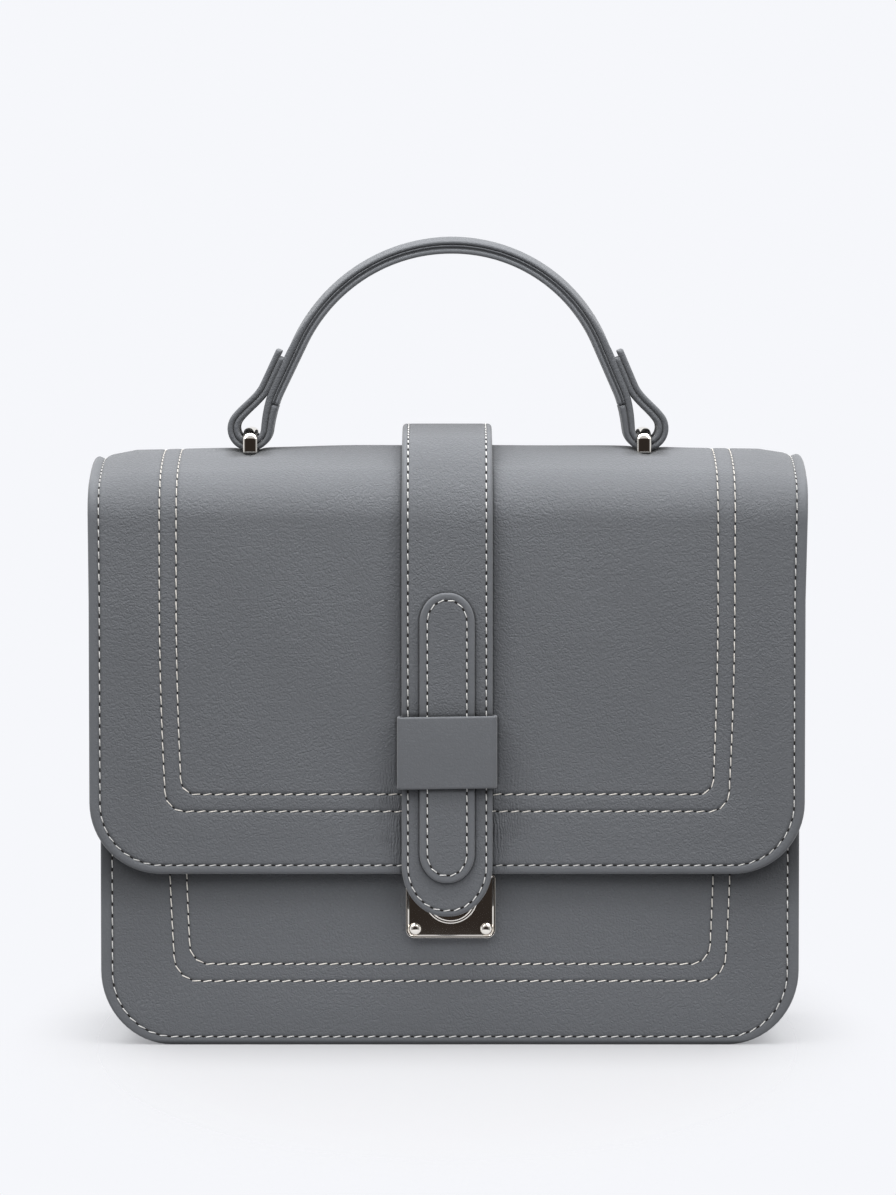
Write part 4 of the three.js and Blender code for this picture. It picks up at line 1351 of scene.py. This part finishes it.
class SATCHEL_OT_stage(bpy.types.Operator):
    """Sets the floor, the light and the camera"""

    bl_idname = "satchel.stage"
    bl_label = "Stage"

    def execute(self, context):
        stage, scene = settings().stage, context.scene
        self.camera(stage, scene)
        self.floor(stage)
        self.world(stage, scene)
        flap = FLAP_LOW[Y] * MM
        self.lamp("top_light", stage.top_light, (1.2, 0.9), (0.0, flap - 0.06, 1.4))
        for name, x, share in (("left_light", -0.75, 1.05), ("right_light", 0.75, 0.97)):
            self.lamp(name, stage.side_light * share, (0.9, 0.7), (x, flap - 0.85, 1.15))
        scene.view_settings.view_transform = "Standard"
        scene.view_settings.look = "None"
        return {"FINISHED"}

    @staticmethod
    def camera(stage, scene):
        """Looks at the bag's front from a little above."""
        camera = bpy.data.cameras.new("photo_camera")
        camera.lens, camera.sensor_width, camera.sensor_fit = stage.lens, 36.0, "AUTO"
        eye = bpy.data.objects.new("photo_camera", camera)
        eye.location = (0.0003, FLAP_LOW[Y] * MM - stage.distance, stage.height)
        eye.rotation_euler = (math.pi / 2 - stage.tilt, 0.0, 0.0)
        scene.collection.objects.link(eye)
        scene.camera = eye

    @staticmethod
    def lamp(name, power, size, place):
        """A soft lamp that looks at the middle of the bag."""
        target = Vector((0.0, 0.0, 0.12))
        light = bpy.data.lights.new(name, "AREA")
        light.energy, light.shape = power, "RECTANGLE"
        light.size, light.size_y = size
        lamp = bpy.data.objects.new(name, light)
        lamp.location = place
        lamp.rotation_euler = (target - Vector(place)).to_track_quat("-Z", "Y").to_euler()
        bpy.context.scene.collection.objects.link(lamp)

    @staticmethod
    def floor(stage):
        """A plain pale floor that fades out into the paper round the bag."""
        reach = 1500.0
        corners = [(-reach, -reach, 0.0), (reach, -reach, 0.0), (reach, reach, 0.0), (-reach, reach, 0.0)]
        recipe = Finish("floor_paper")
        narrow = recipe.vector("MULTIPLY", recipe.place(), (2.35, 1.0, 1.0))
        solid = recipe.fade(recipe.vector("LENGTH", narrow, output="Value"), 0.2, 0.36)
        material = recipe.finish(
            Base_Color=(*stage.floor, 1), Roughness=0.9, Alpha=solid, Specular_IOR_Level=0.2,
            Emission_Color=(*stage.paper, 1), Emission_Strength=stage.glow,
        )
        floor = mesh_object("floor", corners, [(0, 1, 2, 3)], material)
        floor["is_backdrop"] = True

    @staticmethod
    def world(stage, scene):
        """Pale paper all round as the camera sees it; a room that is lighter above than in front."""
        world = bpy.data.worlds.new("studio")
        scene.world = world
        world.use_nodes = True
        recipe = Recipe(world.node_tree)
        shader = world.node_tree.nodes["Background"]
        look = recipe.node("ShaderNodeTexCoord", output="Generated")
        rise, back, across = recipe.axes(look, "ZYX")
        around = recipe.step(rise, -0.1, 0.6, stage.room_low, stage.room_high)
        ahead = recipe.step(rise, 0.3, 0.65, 0.028, stage.room_high) + recipe.fade(rise, -0.5, -0.25, 0.8)
        front = recipe.fade(back, -0.97, -0.86)
        behind = recipe.step(back, 0.0, 0.35)
        room = around * (1 - front) + ahead * front
        aside = recipe.step(abs(across), 0.6, 0.9)
        level = (room * (1 - behind) + stage.room_back * behind) * (1 - aside) + stage.room_side * aside
        cool, cold = 1.005 - 0.2 * front, 1.02 - 0.32 * front
        lit = recipe.node("ShaderNodeCombineColor", {}, {0: level, 1: level * cool, 2: level * cold})
        seen = recipe.node("ShaderNodeLightPath", output="Is Camera Ray")
        recipe.give(shader.inputs["Color"], recipe.blend(seen, lit, (*stage.paper, 1)))


class SATCHEL_PT_panel(bpy.types.Panel):
    """Lists the satchel's pieces"""

    bl_label = "Satchel"
    bl_idname = "SATCHEL_PT_panel"
    bl_space_type = "VIEW_3D"
    bl_region_type = "UI"
    bl_category = "Satchel"

    def draw(self, context):
        for operator in OPERATORS:
            self.layout.operator(operator.bl_idname)


GROUPS = (
    SewingSettings, LeatherSettings, MetalSettings, ShapeSettings, StageSettings, SatchelSettings,
)
OPERATORS = (
    SATCHEL_OT_stage, SATCHEL_OT_body, SATCHEL_OT_flap, SATCHEL_OT_strap,
    SATCHEL_OT_lock, SATCHEL_OT_handle, SATCHEL_OT_staples,
)


def register():
    for kind in (*GROUPS, *OPERATORS, SATCHEL_PT_panel):
        bpy.utils.register_class(kind)
    bpy.types.Scene.satchel = PointerProperty(type=SatchelSettings)


def unregister():
    del bpy.types.Scene.satchel
    for kind in reversed((*GROUPS, *OPERATORS, SATCHEL_PT_panel)):
        bpy.utils.unregister_class(kind)


def main():
    register()
    bpy.ops.satchel.stage()
    bpy.ops.satchel.body()
    bpy.ops.satchel.flap()
    bpy.ops.satchel.strap()
    bpy.ops.satchel.lock()
    bpy.ops.satchel.handle()
    bpy.ops.satchel.staples()
    sizes = {"cad": CAD_BOX, "visual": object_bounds()}
    plain = {label: [list(map(float, corner)) for corner in box] for label, box in sizes.items()}


if __name__ == "__main__":
    main()
